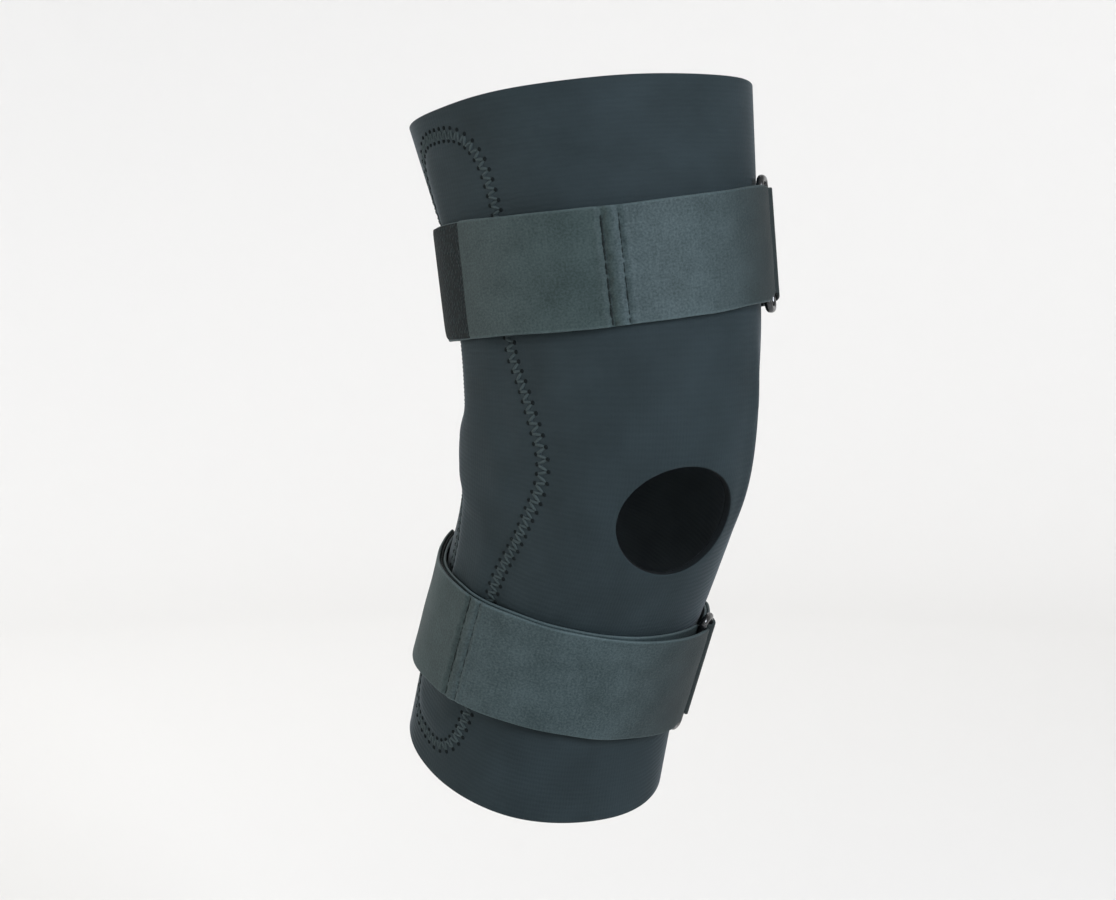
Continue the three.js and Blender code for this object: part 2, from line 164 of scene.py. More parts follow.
def wrapped(angle):
    """The same angle between -180 and 180 degrees."""
    return (np.asarray(angle, float) + 180) % 360 - 180


def bend_fold_depth(angle, station):
    """How far the folds at the back of the bend lie under the smooth form."""
    around = np.abs(wrapped(angle))
    depth = np.zeros_like(station)
    for middle, deep, half_width, slant in zip(*BEND_FOLDS.values()):
        away = (station - middle - slant * ((angle % 360) - 180)) / half_width
        depth += deep * (np.exp(-away**2) - FOLD_BANK * np.exp(-((np.abs(away) - FOLD_BANK_OFFSET) ** 2)))
    return depth * smooth_step(FOLD_START_ANGLE, FOLD_FULL_ANGLE, around)


def side_ridge(angle, station):
    """Height of the low ridge and of the dip beside it."""
    along = np.exp(-(((station - RIDGE_STATION) / RIDGE_HALF_LENGTH) ** 4))
    from_ridge = wrapped(angle) - RIDGE_ANGLE - RIDGE_SLANT * (station - RIDGE_STATION)
    ridge = np.exp(-((from_ridge / RIDGE_HALF_WIDTH) ** 2))
    dip = np.exp(-(((from_ridge + 2 * RIDGE_HALF_WIDTH) / RIDGE_HALF_WIDTH) ** 2))
    return RIDGE_HEIGHT * (ridge - RIDGE_DIP * dip) * along


def on_front(across, up):
    """Angles and stations of the front's points at these places, seen square on at the hole."""
    centre, upward, _ = middle_line(np.float64(HOLE_STATION))
    half = smooth_value(SECTIONS, "medial", np.float64(HOLE_STATION))
    angle = np.degrees(-np.arcsin(across / half))
    station = HOLE_STATION + up
    for _ in range(HOLE_SOLVE_STEPS):
        place = shell(angle, station, 0) - centre
        angle += np.degrees((place[:, 0] - across) / (half * np.cos(np.radians(angle))))
        station += up - place @ upward
    return angle, station


def edge_drop(distance):
    """How far a rounded cut edge lies under the face, at a distance from the cut."""
    inside = np.clip(EDGE_ROUND - distance, 0, EDGE_ROUND)
    return EDGE_ROUND - np.sqrt(EDGE_ROUND**2 - inside**2)


def band_faces(number):
    """Faces between numbered rows of points, where each row closes on itself."""
    after = np.roll(number, -1, 1)
    return np.stack([number[:-1], number[1:], after[1:], after[:-1]], -1).reshape(-1, 4)


def wall_faces(rim, under):
    """Faces from a closed line of points to the same points of the layer under them."""
    after = np.roll(rim, -1)
    return np.stack([rim, after, after + under, rim + under], 1)


def new_object(name, data):
    """An object in the scene."""
    made = bpy.data.objects.new(name, data)
    bpy.context.scene.collection.objects.link(made)
    return made


def cloth_mesh(name, points, faces, cloth, materials, face_material=None, around=None):
    """A smooth mesh of points in millimetres, with its cloth's own millimetres as a UV map.
    On a closed tube, around is the girth at which the map starts again."""
    mesh = bpy.data.meshes.new(name)
    mesh.from_pydata((points * MM).tolist(), [], faces.tolist())
    uv = cloth[faces].copy()
    if around:
        u = uv[..., 0]
        u[(u.max(1, keepdims=True) - u) > around / 2] += around
    mesh.uv_layers.new(name="cloth").uv.foreach_set("vector", uv.astype(np.float32).ravel())
    for material in materials:
        mesh.materials.append(material)
    if face_material is not None:
        mesh.polygons.foreach_set("material_index", face_material.astype(np.int32))
    mesh.polygons.foreach_set("use_smooth", np.ones(len(faces), bool))
    mesh.update()
    return new_object(name, mesh)


def linear(hex_code):
    """Linear colour of an sRGB hex code."""
    parts = [int(hex_code[i : i + 2], 16) / 255 for i in (0, 2, 4)]
    return [c / 12.92 if c <= 0.04045 else ((c + 0.055) / 1.055) ** 2.4 for c in parts] + [1]


def add_node(tree, kind, inputs=None, **settings):
    """A node with its settings. Each input is a value, or is linked to a socket or to a node's first output."""
    node = tree.nodes.new(kind)
    for name, value in settings.items():
        setattr(node, name, value)
    for key, value in (inputs or {}).items():
        if isinstance(value, bpy.types.Node):
            value = value.outputs[0]
        if isinstance(value, bpy.types.NodeSocket):
            tree.links.new(value, node.inputs[key])
        else:
            node.inputs[key].default_value = value
    return node


def new_material(name):
    """A material with no nodes yet, and the function that adds a node to it."""
    material = bpy.data.materials.new(name)
    material.use_nodes = True
    material.node_tree.nodes.clear()
    return material, partial(add_node, material.node_tree)


def blend(add, factor, *shades):
    """A colour between two, each a hex code or a socket.
    A mix node has its colours at the inputs 6 and 7 and at the output 2."""
    one, other = (linear(shade) if isinstance(shade, str) else shade for shade in shades)
    return add("ShaderNodeMix", {"Factor": factor, 6: one, 7: other}, data_type="RGBA").outputs[2]


def weighted(add, value, weight, rest):
    """A value by its weight, on top of the rest."""
    return add("ShaderNodeMath", {0: value, 1: weight, 2: rest}, operation="MULTIPLY_ADD")


def end_material(add, finish):
    """Ends a material with one surface of this finish."""
    face = add("ShaderNodeBsdfPrincipled", finish)
    add("ShaderNodeOutputMaterial", {"Surface": face})


# Nylon jersey bonded to neoprene: a matt knit with fine ribs across the sleeve and a soft pale edge to it.
# A real course is under 1 mm, and it is drawn coarser here so that its ribs show.
COURSE_PITCH = 2.2
WALE_PITCH = 1.5
MOTTLE_SIZE = 26
FUZZ_SIZE = 0.7
WALE_RELIEF = 0.35
FUZZ_RELIEF = 0.8
KNIT_TONE = 0.12
FUZZ_TONE = 0.3
WAVE_PERIOD = math.pi / 10  # a wave texture's period at scale 1


def jersey(name, shade, light):
    material, add = new_material(name)
    cloth = add("ShaderNodeUVMap", uv_map="cloth")
    mottle = add("ShaderNodeTexNoise", {"Vector": cloth, "Scale": 1 / MOTTLE_SIZE, "Detail": 3})
    fuzz = add("ShaderNodeTexNoise", {"Vector": cloth, "Scale": 1 / FUZZ_SIZE})
    ribs = []
    for pitch, across in ((COURSE_PITCH, "Y"), (WALE_PITCH, "X")):
        wave = {"Vector": cloth, "Scale": WAVE_PERIOD / pitch}
        wave |= {"Distortion": 1.6, "Detail": 1, "Detail Scale": 1.5}
        ribs.append(add("ShaderNodeTexWave", wave, bands_direction=across).outputs["Fac"])
    knit = weighted(add, ribs[1], WALE_RELIEF, ribs[0])
    relief = weighted(add, fuzz, FUZZ_RELIEF, knit)
    bump = add("ShaderNodeBump", {"Height": relief, "Strength": 0.28, "Distance": 0.22 * MM})
    patches = add("ShaderNodeMapRange", {"Value": mottle, "From Min": 0.3, "From Max": 0.7, "To Max": 0.55})
    lighter = weighted(add, knit, KNIT_TONE, patches)
    flecked = weighted(add, fuzz, FUZZ_TONE, lighter)
    colour = blend(add, flecked, shade, light)
    finish = {"Base Color": colour, "Roughness": 0.8, "Specular IOR Level": 0.1, "Normal": bump}
    finish |= {"Sheen Weight": 0.3, "Sheen Roughness": 0.28, "Sheen Tint": linear("b9c3cc")}
    end_material(add, finish)
    return material


def grained(name, shade, light, size, finish, relief=None, polish=None, pattern="ShaderNodeTexNoise"):
    """A material that runs between two shades by a fine grain of a size in millimetres.
    The grain can add a relief, by its strength and depth, and a polish, by the roughness it runs between."""
    material, add = new_material(name)
    place = add("ShaderNodeTexCoord").outputs["Object"]
    grain = add(pattern, {"Vector": place, "Scale": 1 / (size * MM)})
    colour = blend(add, grain, shade, light)
    finish = {"Base Color": colour, **finish}
    if relief:
        bump = {"Height": grain, "Strength": relief[0], "Distance": relief[1] * MM}
        finish["Normal"] = add("ShaderNodeBump", bump)
    if polish:
        rough = {"Value": grain, "To Min": polish[0], "To Max": polish[1]}
        finish["Roughness"] = add("ShaderNodeMapRange", rough)
    end_material(add, finish)
    return material


# Cut neoprene foam: black rubber with fine pores, which take the light away
PORE_SIZE = 0.5
foam_finish = {"Roughness": 0.95, "Specular IOR Level": 0.08}
foam_look = {"finish": foam_finish, "relief": (0.5, 0.2), "pattern": "ShaderNodeTexVoronoi"}
cut_foam = grained("cut neoprene foam", "090b0c", "15191b", PORE_SIZE, **foam_look)

column_angle = 360 * np.arange(SLEEVE_COLUMNS) / SLEEVE_COLUMNS - 180
turn = np.radians(column_angle)
wander = CUT_WANDER * (np.sin(3 * turn + 1) + 0.6 * np.sin(7 * turn))
bottom = SLEEVE_BOTTOM + SLEEVE_BOTTOM_RISE * np.cos(turn) + wander
top = SLEEVE_TOP + SLEEVE_TOP_RISE * np.cos(turn) - wander[::-1]
share = np.linspace(0, 1, SLEEVE_ROWS + 2)[1:-1, None]
between = bottom + EDGE_ROUND + share * (top - bottom - 2 * EDGE_ROUND)
grid_station = np.concatenate([bottom + EDGE_STEPS[:, None], between, top - EDGE_STEPS[::-1, None]])
grid_angle = np.broadcast_to(column_angle, grid_station.shape)
grid_edge = np.minimum(grid_station - bottom, top - grid_station)

# The field round the hole is taken out of the grid and closed again by rings that lead to the hole's edge
left, right = np.searchsorted(column_angle, HOLE_FIELD_ANGLES)
low, high = np.searchsorted(grid_station[:, SLEEVE_COLUMNS // 2], HOLE_FIELD_STATIONS)
kept = np.ones(grid_station.shape, bool)
kept[low + 1 : high, left + 1 : right] = False
number = np.full(grid_station.shape, -1)
number[kept] = np.arange(kept.sum())
cell_row, cell_column = np.indices((len(grid_station) - 1, SLEEVE_COLUMNS))
in_field = (cell_row >= low) & (cell_row < high) & (cell_column >= left) & (cell_column < right)
cell_row, cell_column = cell_row[~in_field], cell_column[~in_field]
next_column = (cell_column + 1) % SLEEVE_COLUMNS
cell_corners = ((0, cell_column), (1, cell_column), (1, next_column), (0, next_column))
grid_faces = np.stack([number[cell_row + up, column] for up, column in cell_corners], 1)
wide, tall = right - left, high - low
rim_rows = np.concatenate(
    [np.full(wide, low), np.arange(low, high), np.full(wide, high), np.arange(high, low, -1)]
)
rim_columns = np.concatenate(
    [np.arange(left, right), np.full(tall, right), np.arange(right, left, -1), np.full(tall, left)]
)
rim = number[rim_rows, rim_columns]
rim_angle, rim_station = grid_angle[rim_rows, rim_columns], grid_station[rim_rows, rim_columns]
ahead_of = -(rim_angle - np.mean(HOLE_FIELD_ANGLES)) / np.ptp(HOLE_FIELD_ANGLES)
above_of = (rim_station - np.mean(HOLE_FIELD_STATIONS)) / np.ptp(HOLE_FIELD_STATIONS)
way = np.arctan2(above_of, ahead_of) - HOLE_TILT
hole_across = HOLE_HALF_WIDTH * np.cos(way)
hole_up = HOLE_HALF_HEIGHT * np.sin(way)
hole_angle, hole_station = on_front(
    HOLE_X + hole_across * math.cos(HOLE_TILT) - hole_up * math.sin(HOLE_TILT),
    hole_across * math.sin(HOLE_TILT) + hole_up * math.cos(HOLE_TILT),
)
per_degree = SLEEVE_GIRTH / 360
ring_reach = np.hypot((rim_angle - hole_angle) * per_degree, rim_station - hole_station)
ring_shares = [np.full(len(rim), s) for s in HOLE_RINGS] + [e / ring_reach for e in EDGE_STEPS[::-1]]
ring_shares = np.array(ring_shares)
ring_angle = hole_angle + ring_shares * (rim_angle - hole_angle)
ring_station = hole_station + ring_shares * (rim_station - hole_station)
ring_edge = ring_shares * ring_reach
rings = kept.sum() + np.arange(ring_shares.size).reshape(ring_shares.shape)
ring_faces = band_faces(np.concatenate([rim[None], rings]))

sleeve_angle = np.concatenate([grid_angle[kept], ring_angle.ravel()])
sleeve_station = np.concatenate([grid_station[kept], ring_station.ravel()])
sleeve_edge = np.concatenate([grid_edge[kept], ring_edge.ravel()])
sleeve_drop = edge_drop(sleeve_edge)
relief = side_ridge(sleeve_angle, sleeve_station) - bend_fold_depth(sleeve_angle, sleeve_station)
outer = shell(sleeve_angle, sleeve_station, relief - sleeve_drop)
inner = shell(sleeve_angle, sleeve_station, relief + sleeve_drop - SLEEVE_WALL)
count = len(sleeve_angle)
outer_faces = np.concatenate([grid_faces, ring_faces])
cut_lines = (number[0], number[-1][::-1], rings[-1][::-1])
cut_faces = np.concatenate([wall_faces(line, count) for line in cut_lines])
sleeve_faces = np.concatenate([outer_faces, outer_faces[:, ::-1] + count, cut_faces])
at_cut = sleeve_edge[outer_faces].min(1) < EDGE_STEPS[1] / 2
FACE, LINING, CUT = 0, 1, 2
face_kind = [np.where(at_cut, CUT, FACE), np.where(at_cut, CUT, LINING), np.full(len(cut_faces), CUT)]
cloth_place = np.stack([sleeve_angle * per_degree, sleeve_station], 1)
sleeve_jersey = jersey("charcoal nylon jersey", "161e20", "20292c")
lining_jersey = jersey("grey nylon lining", "353c40", "454d51")
sleeve = cloth_mesh(
    "neoprene_sleeve",
    np.concatenate([outer, inner]),
    sleeve_faces,
    np.concatenate([cloth_place, cloth_place]),
    [sleeve_jersey, lining_jersey, cut_foam],
    np.concatenate(face_kind),
    SLEEVE_GIRTH,
)
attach(sleeve, "root")
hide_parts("sleeve")

# Hinge stays: flat aluminium bars with a round head at the bend, one in each side pocket.
# They are cut from strip and tumbled, and the pockets hide them.
GRAIN_WIDTH = 0.3
GRAIN_LENGTH = 12


# Tumbled aluminium: pale grey metal with a soft shine, broken by fine marks along the bar
def tumbled_aluminium():
    material, add = new_material("tumbled aluminium")
    place = add("ShaderNodeTexCoord").outputs["Object"]
    scale = [1 / (size * MM) for size in (GRAIN_WIDTH, GRAIN_WIDTH, GRAIN_LENGTH)]
    along = add("ShaderNodeMapping", {"Vector": place, "Scale": scale})
    grain = add("ShaderNodeTexNoise", {"Vector": along, "Scale": 1})
    rough = add("ShaderNodeMapRange", {"Value": grain, "To Min": 0.32, "To Max": 0.55})
    colour = blend(add, grain, "9ca0a2", "b4b8ba")
    end_material(add, {"Base Color": colour, "Metallic": 1, "Roughness": rough})
    return material


stay_metal = tumbled_aluminium()
for node in ("hinge_lateral", "hinge_medial"):
    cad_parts[node].data.materials.clear()
    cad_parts[node].data.materials.append(stay_metal)

# Hinge pockets: a panel of the same jersey-faced neoprene down each side, sewn flat round its edge.
# It swells over the stay's arms and the hinge head, and its ends are round.
SIDES = {"lateral": 1, "medial": -1}
POCKET_ANGLE = 93.5
SIDE_TOP = 112
SIDE_BOTTOM = -113
SIDE_SOLVE_STEPS = 8
POCKET_END_LENGTH = 30
POCKET_END_ROUNDNESS = 3
POCKET_ROW_STEP = 2.5
POCKET_WALL = 1
POCKET_LAID = 0.05
POCKET_EDGE_HEIGHT = 0.14
POCKET_EDGE_SLOPE = 0.8
POCKET_SEAM_HEIGHT = 0.5
POCKET_FLAT_HEIGHT = 1.35
POCKET_PUFF_WIDTH = 8
SEAM_OFFSET = 2.7
SEAM_DIP = 0.22
SEAM_DIP_HALF_WIDTH = 0.8
STAY_HALF_WIDTH = 8
STAY_HEAD_RADIUS = 17
STAY_ROOM = 1
STAY_LIFT = 1.5
STAY_SLOPE = 11
HEAD_EXTRA_LIFT = 1.2
POCKET_EDGES = table(
    "station front back",
    (-113, 21.5, 26),
    (-70, 17, 22),
    (-45, 19.5, 22),
    (-20, 30.5, 25),
    (5, 40, 28),
    (30, 32.5, 25),
    (50, 24, 23),
    (70, 25.5, 24),
    (112, 28, 26),
)
# Rows of a round end: the first ones by their share of its length, the others by the width that is left there
POCKET_END_STARTS = (0.2, 0.4)
POCKET_END_WIDTHS = np.linspace(0.95, 0.04, 18)
# Share of a row's half width, from the edge to the centre line, with most of the columns near the seam
POCKET_COLUMNS = np.array([0, 0.012, 0.03, 0.05, 0.075, 0.1, 0.13, 0.17, 0.22, 0.3, 0.4, 0.52, 0.66, 0.82])


def pocket_edge(side, station):
    """Distance from a pocket's centre line to its front or back edge, which rounds off past the stay."""
    nearest = np.clip(station, SIDE_BOTTOM, SIDE_TOP)
    past = np.abs(station - nearest) / POCKET_END_LENGTH
    taper = (1 - np.clip(past, 0, 1) ** POCKET_END_ROUNDNESS) ** (1 / POCKET_END_ROUNDNESS)
    return smooth_value(POCKET_EDGES, side, nearest) * taper


def pocket_stations():
    """Rows of a pocket: even along the stay, and closing up at the round ends."""
    straight = np.linspace(SIDE_BOTTOM, SIDE_TOP, round((SIDE_TOP - SIDE_BOTTOM) / POCKET_ROW_STEP))
    closing = (1 - POCKET_END_WIDTHS**POCKET_END_ROUNDNESS) ** (1 / POCKET_END_ROUNDNESS)
    end = POCKET_END_LENGTH * np.concatenate([POCKET_END_STARTS, closing])
    return np.concatenate([SIDE_BOTTOM - end[::-1], straight, SIDE_TOP + end])


def from_side(side, station, distance):
    """Angle at a distance round the sleeve from one side's centre line (1 lateral, -1 medial) to the front."""
    angle = np.full(np.shape(distance), float(POCKET_ANGLE))
    for _ in range(SIDE_SOLVE_STEPS):
        apart = shell(side * (angle - 0.5), station, 0) - shell(side * (angle + 0.5), station, 0)
        angle = angle - distance / SIDE_SOLVE_STEPS / np.linalg.norm(apart, axis=-1)
    return side * angle


def run_along(line):
    """Length of a line up to each of its points."""
    return np.concatenate([[0], np.cumsum(np.linalg.norm(np.diff(line, axis=0), axis=1))])


def points_along(line, run, places):
    """Points of a line at places in its run."""
    return np.stack([np.interp(places, run, column) for column in line.T], 1)


def pocket_outline():
    """Closed outline of a pocket as distances from its centre line and stations, evenly spaced."""
    station = pocket_stations()
    front, back = pocket_edge("front", station), -pocket_edge("back", station)
    line = np.stack([np.concatenate([front, back[::-1]]), np.concatenate([station, station[::-1]])], 1)
    line = np.concatenate([line, line[:1]])
    run = run_along(line)
    return points_along(line, run, np.arange(0, run[-1], run[-1] / round(run[-1])))


def stay_rise(distance, station):
    """Height that the hidden stay adds to its pocket."""
    from_middle = np.abs(station - (SIDE_TOP + SIDE_BOTTOM) / 2)
    past_end = np.clip(from_middle - (SIDE_TOP - SIDE_BOTTOM) / 2, 0, None)
    from_arm = np.hypot(np.clip(np.abs(distance) - STAY_HALF_WIDTH - STAY_ROOM, 0, None), past_end)
    from_head = np.clip(np.hypot(distance, station) - STAY_HEAD_RADIUS - STAY_ROOM, 0, None)
    on_arm = 1 - smooth_step(0, STAY_SLOPE, from_arm)
    on_head = 1 - smooth_step(0, STAY_SLOPE, from_head)
    return np.maximum(on_arm, on_head) * STAY_LIFT + on_head * HEAD_EXTRA_LIFT


def panel_height(inside):
    """Height of a pocket panel's face over the sleeve, at a distance in from its edge."""
    pressed = (POCKET_SEAM_HEIGHT - POCKET_EDGE_HEIGHT) * np.exp(-inside / POCKET_EDGE_SLOPE)
    puffed = smooth_step(SEAM_OFFSET, SEAM_OFFSET + POCKET_PUFF_WIDTH, inside)
    dip = SEAM_DIP * np.exp(-(((inside - SEAM_OFFSET) / SEAM_DIP_HALF_WIDTH) ** 2))
    return POCKET_SEAM_HEIGHT - pressed + (POCKET_FLAT_HEIGHT - POCKET_SEAM_HEIGHT) * puffed - dip


def slab_faces(rows, columns):
    """Faces of a closed slab of two grids, the outer one first."""
    number = np.arange(rows * columns).reshape(rows, columns)
    corners = (number[:-1, :-1], number[1:, :-1], number[1:, 1:], number[:-1, 1:])
    outer = np.stack([corner.ravel() for corner in corners], 1)
    under = rows * columns
    rim = np.concatenate([number[0], number[1:, -1], number[-1, -2::-1], number[-2:0:-1, 0]])
    return np.concatenate([outer, outer[:, ::-1] + under, wall_faces(rim, under)])


outline = pocket_outline()
row_station = pocket_stations()
half_share = np.concatenate([1 - POCKET_COLUMNS, [0], -(1 - POCKET_COLUMNS)[::-1]])
front_edge, back_edge = (pocket_edge(side, row_station)[:, None] for side in ("front", "back"))
panel_distance = np.where(half_share > 0, front_edge, back_edge) * half_share
panel_station = np.broadcast_to(row_station[:, None], panel_distance.shape)
place = np.stack([panel_distance, panel_station], -1).reshape(-1, 2)
inside = np.array([np.min(np.hypot(*(outline - p).T)) for p in place]).reshape(panel_distance.shape)
inside[[0, -1]] = 0
inside[:, [0, -1]] = 0
panel_top = panel_height(inside) + stay_rise(panel_distance, panel_station)
panel_under = np.maximum(panel_top - POCKET_WALL, POCKET_LAID)
panel_faces = slab_faces(*panel_distance.shape)
pocket_jersey = jersey("charcoal pocket jersey", "171f21", "212a2d")
for side_name, side in SIDES.items():
    angle = from_side(side, panel_station, panel_distance)
    points = [shell(angle, panel_station, height).reshape(-1, 3) for height in (panel_top, panel_under)]
    cloth_place = np.stack([angle.ravel() * per_degree, panel_station.ravel()], 1)
    pocket = cloth_mesh(
        f"hinge_pocket_{side_name}",
        np.concatenate(points),
        panel_faces if side > 0 else panel_faces[:, ::-1],
        np.concatenate([cloth_place, cloth_place]),
        [pocket_jersey],
    )
    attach(pocket, "root")
    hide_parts(f"pocket_{side_name}")

# Pocket seams: a zigzag of polyester thread that crosses the panel's edge and joins it flat to the sleeve.
# The needle leaves a row of holes on each side of the edge, drawn as flat spots of painted shade, and the
# thread sinks into them, so that the middle of each slant shows most. Thread and holes are drawn larger than
# they are.
ZIGZAG_STEP = 2.1
THREAD_RADIUS = 0.75
THREAD_SIDES = 6
THREAD_PULL = 1.1
NEEDLE_HOLE_RADIUS = 1.05
NEEDLE_HOLE_DEPTH = 0.5
# Points of the thread along each slant of the zigzag, and their height over the cloth
SLANT_SHARES = np.array([0, 0.18, 0.5, 0.82])
SLANT_ARCH = np.array([-THREAD_PULL, -0.45, 0.1, -0.45])
NO_EDGES = np.zeros((0, 2), int)


def closed_edges(count):
    """Edges that join a number of points in order, and the last to the first."""
    return np.stack([np.arange(count), np.roll(np.arange(count), -1)], 1)


def guide_mesh(name, points, edges, **attributes):
    """A mesh of points in millimetres that a node tree reads, with directions on its points."""
    mesh = bpy.data.meshes.new(name)
    mesh.from_pydata((points * MM).tolist(), edges.tolist(), [])
    for label, values in attributes.items():
        mesh.attributes.new(label, "FLOAT_VECTOR", "POINT").data.foreach_set("vector", values.ravel())
    return mesh


def new_tree(name, **sizes):
    """A node tree with a geometry socket at each end and a named input for each of its sizes.
    With it come the function that adds a node to it, and its inputs."""
    tree = bpy.data.node_groups.new(name, "GeometryNodeTree")
    tree.interface.new_socket("Geometry", in_out="INPUT", socket_type="NodeSocketGeometry")
    for label, value in sizes.items():
        socket = tree.interface.new_socket(label, in_out="INPUT", socket_type="NodeSocketFloat")
        socket.default_value = value
    tree.interface.new_socket("Geometry", in_out="OUTPUT", socket_type="NodeSocketGeometry")
    add = partial(add_node, tree)
    return tree, add, add("NodeGroupInput").outputs


def end_tree(add, shape, material):
    """Ends a tree with its instances made real and their material set."""
    real = add("GeometryNodeRealizeInstances", {"Geometry": shape})
    smooth = add("GeometryNodeSetShadeSmooth", {"Geometry": real})
    coated = add("GeometryNodeSetMaterial", {"Geometry": smooth, "Material": material})
    add("NodeGroupOutput", {0: coated})


def grown(name, tree, guide, **sizes):
    """A plain mesh that a node tree grows on a guide, with the tree's named sizes in metres."""
    piece = new_object(name, guide)
    grower = piece.modifiers.new("grow", "NODES")
    grower.node_group = tree
    for item in tree.interface.items_tree:
        if item.in_out == "INPUT" and item.name in sizes:
            grower[item.identifier] = sizes[item.name]
    shown = piece.evaluated_get(bpy.context.evaluated_depsgraph_get())
    mesh = bpy.data.meshes.new_from_object(shown)
    piece.modifiers.remove(grower)
    piece.data = mesh
    return piece


def strand_tree(name, radius, sides, material):
    """A round strand along a guide's closed line."""
    tree, add, given = new_tree(name, Radius=radius * MM)
    line = add("GeometryNodeMeshToCurve", {"Mesh": given["Geometry"]})
    section = add("GeometryNodeCurvePrimitiveCircle", {"Resolution": sides, "Radius": given["Radius"]})
    strand = add("GeometryNodeCurveToMesh", {"Curve": line, "Profile Curve": section})
    end_tree(add, strand, material)
    return tree


def guide_direction(add, label):
    """A direction that a guide holds on its points."""
    return add("GeometryNodeInputNamedAttribute", {"Name": label}, data_type="FLOAT_VECTOR")


def needle_hole_tree(material):
    """A flat round spot at each point of a guide, facing out, which carries the painted shade of a needle hole.
    """
    tree, add, given = new_tree("needle holes", Radius=NEEDLE_HOLE_RADIUS * MM, Depth=NEEDLE_HOLE_DEPTH * MM)
    outward = guide_direction(add, "outward")
    facing = add("FunctionNodeAlignRotationToVector", {"Vector": outward}, axis="Z")
    size = add("ShaderNodeCombineXYZ", {"X": given["Radius"], "Y": given["Radius"], "Z": given["Depth"]})
    spot = add("GeometryNodeMeshUVSphere", {"Segments": 8, "Rings": 4, "Radius": 1})
    punched = {"Points": given["Geometry"], "Instance": spot, "Rotation": facing, "Scale": size}
    end_tree(add, add("GeometryNodeInstanceOnPoints", punched), material)
    return tree


step_count = 2 * round(len(outline) / ZIGZAG_STEP / 2)
at = np.linspace(0, len(outline), step_count, endpoint=False)
tangent = np.roll(outline, -1, 0) - np.roll(outline, 1, 0)
normal = np.stack([tangent[:, 1], -tangent[:, 0]], 1) / np.linalg.norm(tangent, axis=1)[:, None]
around = np.arange(len(outline) + 1)
stitch_line, stitch_normal = (points_along(np.concatenate([v, v[:1]]), around, at) for v in (outline, normal))
swing = SEAM_OFFSET * np.where(np.arange(step_count) % 2, 1, -1)[:, None]
corner = stitch_line + stitch_normal * swing
slant = np.roll(corner, -1, 0) - corner
slant_place = corner[:, None] + SLANT_SHARES[:, None] * slant[:, None]
slant_swing = swing * (1 - 2 * SLANT_SHARES)
on_panel = panel_height(np.abs(slant_swing)) + stay_rise(slant_place[..., 0], slant_place[..., 1])
thread_height = (np.where(slant_swing < 0, on_panel, 0) + SLANT_ARCH).ravel()
thread_distance, thread_station = slant_place.reshape(-1, 2).T
thread_edges = closed_edges(len(thread_station))
is_needle = np.tile(SLANT_SHARES == 0, step_count)

# Spun polyester thread: soft, matt twisted fibre, which shows a little paler than the cloth round it
TWIST_SIZE = 0.5
thread_look = {"finish": {"Roughness": 0.8, "Specular IOR Level": 0.12}, "relief": (0.5, 0.1)}
grey_thread = grained("grey polyester thread", "232c2d", "333c3d", TWIST_SIZE, **thread_look)

# Painted shade in a needle hole: a flat near-black spot where the needle punched the foam, with a trace of the
# foam's grain
hole_shade_finish = {"Roughness": 1, "Specular IOR Level": 0.05}
needle_hole_shade = grained("painted needle hole shade", "0a0d0e", "14191a", PORE_SIZE, hole_shade_finish)

seam_tree = strand_tree("thread along a seam", THREAD_RADIUS, THREAD_SIDES, grey_thread)
hole_tree = needle_hole_tree(needle_hole_shade)
for side_name, side in SIDES.items():
    angle = from_side(side, thread_station, thread_distance)
    points = shell(angle, thread_station, thread_height)
    outward = (shell(angle, thread_station, thread_height + 1) - points)[is_needle]
    surface = shell(angle, thread_station, thread_height + THREAD_PULL)[is_needle]
    guide = guide_mesh(f"zigzag_{side_name}", points, thread_edges)
    thread = grown(f"seam_thread_{side_name}", seam_tree, guide, Radius=THREAD_RADIUS * MM)
    marks = guide_mesh(f"needle_{side_name}", surface, NO_EDGES, outward=outward)
    holes = grown(f"needle_holes_{side_name}", hole_tree, marks, Radius=NEEDLE_HOLE_RADIUS * MM)
    for piece in (thread, holes):
        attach(piece, "root")

# Strap rings: two moulded black loops, long across the strap, on the medial side of the front.
# Each hangs in a strap's sewn end, and the strap's free end turns back round its other bar.
STRAP_THICKNESS = 1.3
HOOK_THICKNESS = 0.9
LAYER_GAP = 0.3
STRAP_LEAN = 0.6
CHORD_STEPS = 10
RISE_TOP_ANGLE = 5
RISE_FOOT_ANGLE = 42
RISE_HEIGHT = 2.8
RING_WIRE_RADIUS = 1.7
RING_WIRE_SIDES = 16
RING_BAR_SPACING = 10
RING_CORNER_RADIUS = 3.5
RING_CORNER_POINTS = 12
RING_END_ROOM = 1.5
RING_POINTS = 160
STRAPS = {
    "upper": {"width": 50, "ring": -42, "seam": 30, "seam_pull": 1, "end": 87, "hook_end": 112},
    "lower": {"width": 54, "ring": -42, "seam": 80, "seam_pull": 0.6, "end": 148, "hook_end": 172},
}
# Station of each strap's middle, by degrees round the sleeve
STRAP_LINES = table(
    "angle upper lower",
    (-180, 81, -100),
    (-90, 84, -100),
    (-35, 85.4, -89.5),
    (0, 81.8, -85.5),
    (35, 79.6, -82.2),
    (90, 79.6, -86),
    (125, 79, -95),
    (180, 81, -100),
)
BASE_LIFT = LAYER_GAP + STRAP_THICKNESS / 2
DOUBLE_LIFT = BASE_LIFT + STRAP_THICKNESS + LAYER_GAP
HOOK_LIFT = LAYER_GAP + STRAP_THICKNESS + LAYER_GAP + HOOK_THICKNESS / 2
OUTER_LIFT = HOOK_LIFT + HOOK_THICKNESS / 2 + LAYER_GAP + STRAP_THICKNESS / 2
TURN_RADIUS = RING_WIRE_RADIUS + LAYER_GAP + STRAP_THICKNESS / 2
RING_LIFT = BASE_LIFT + TURN_RADIUS
RING_OUTER_LIFT = RING_LIFT + TURN_RADIUS


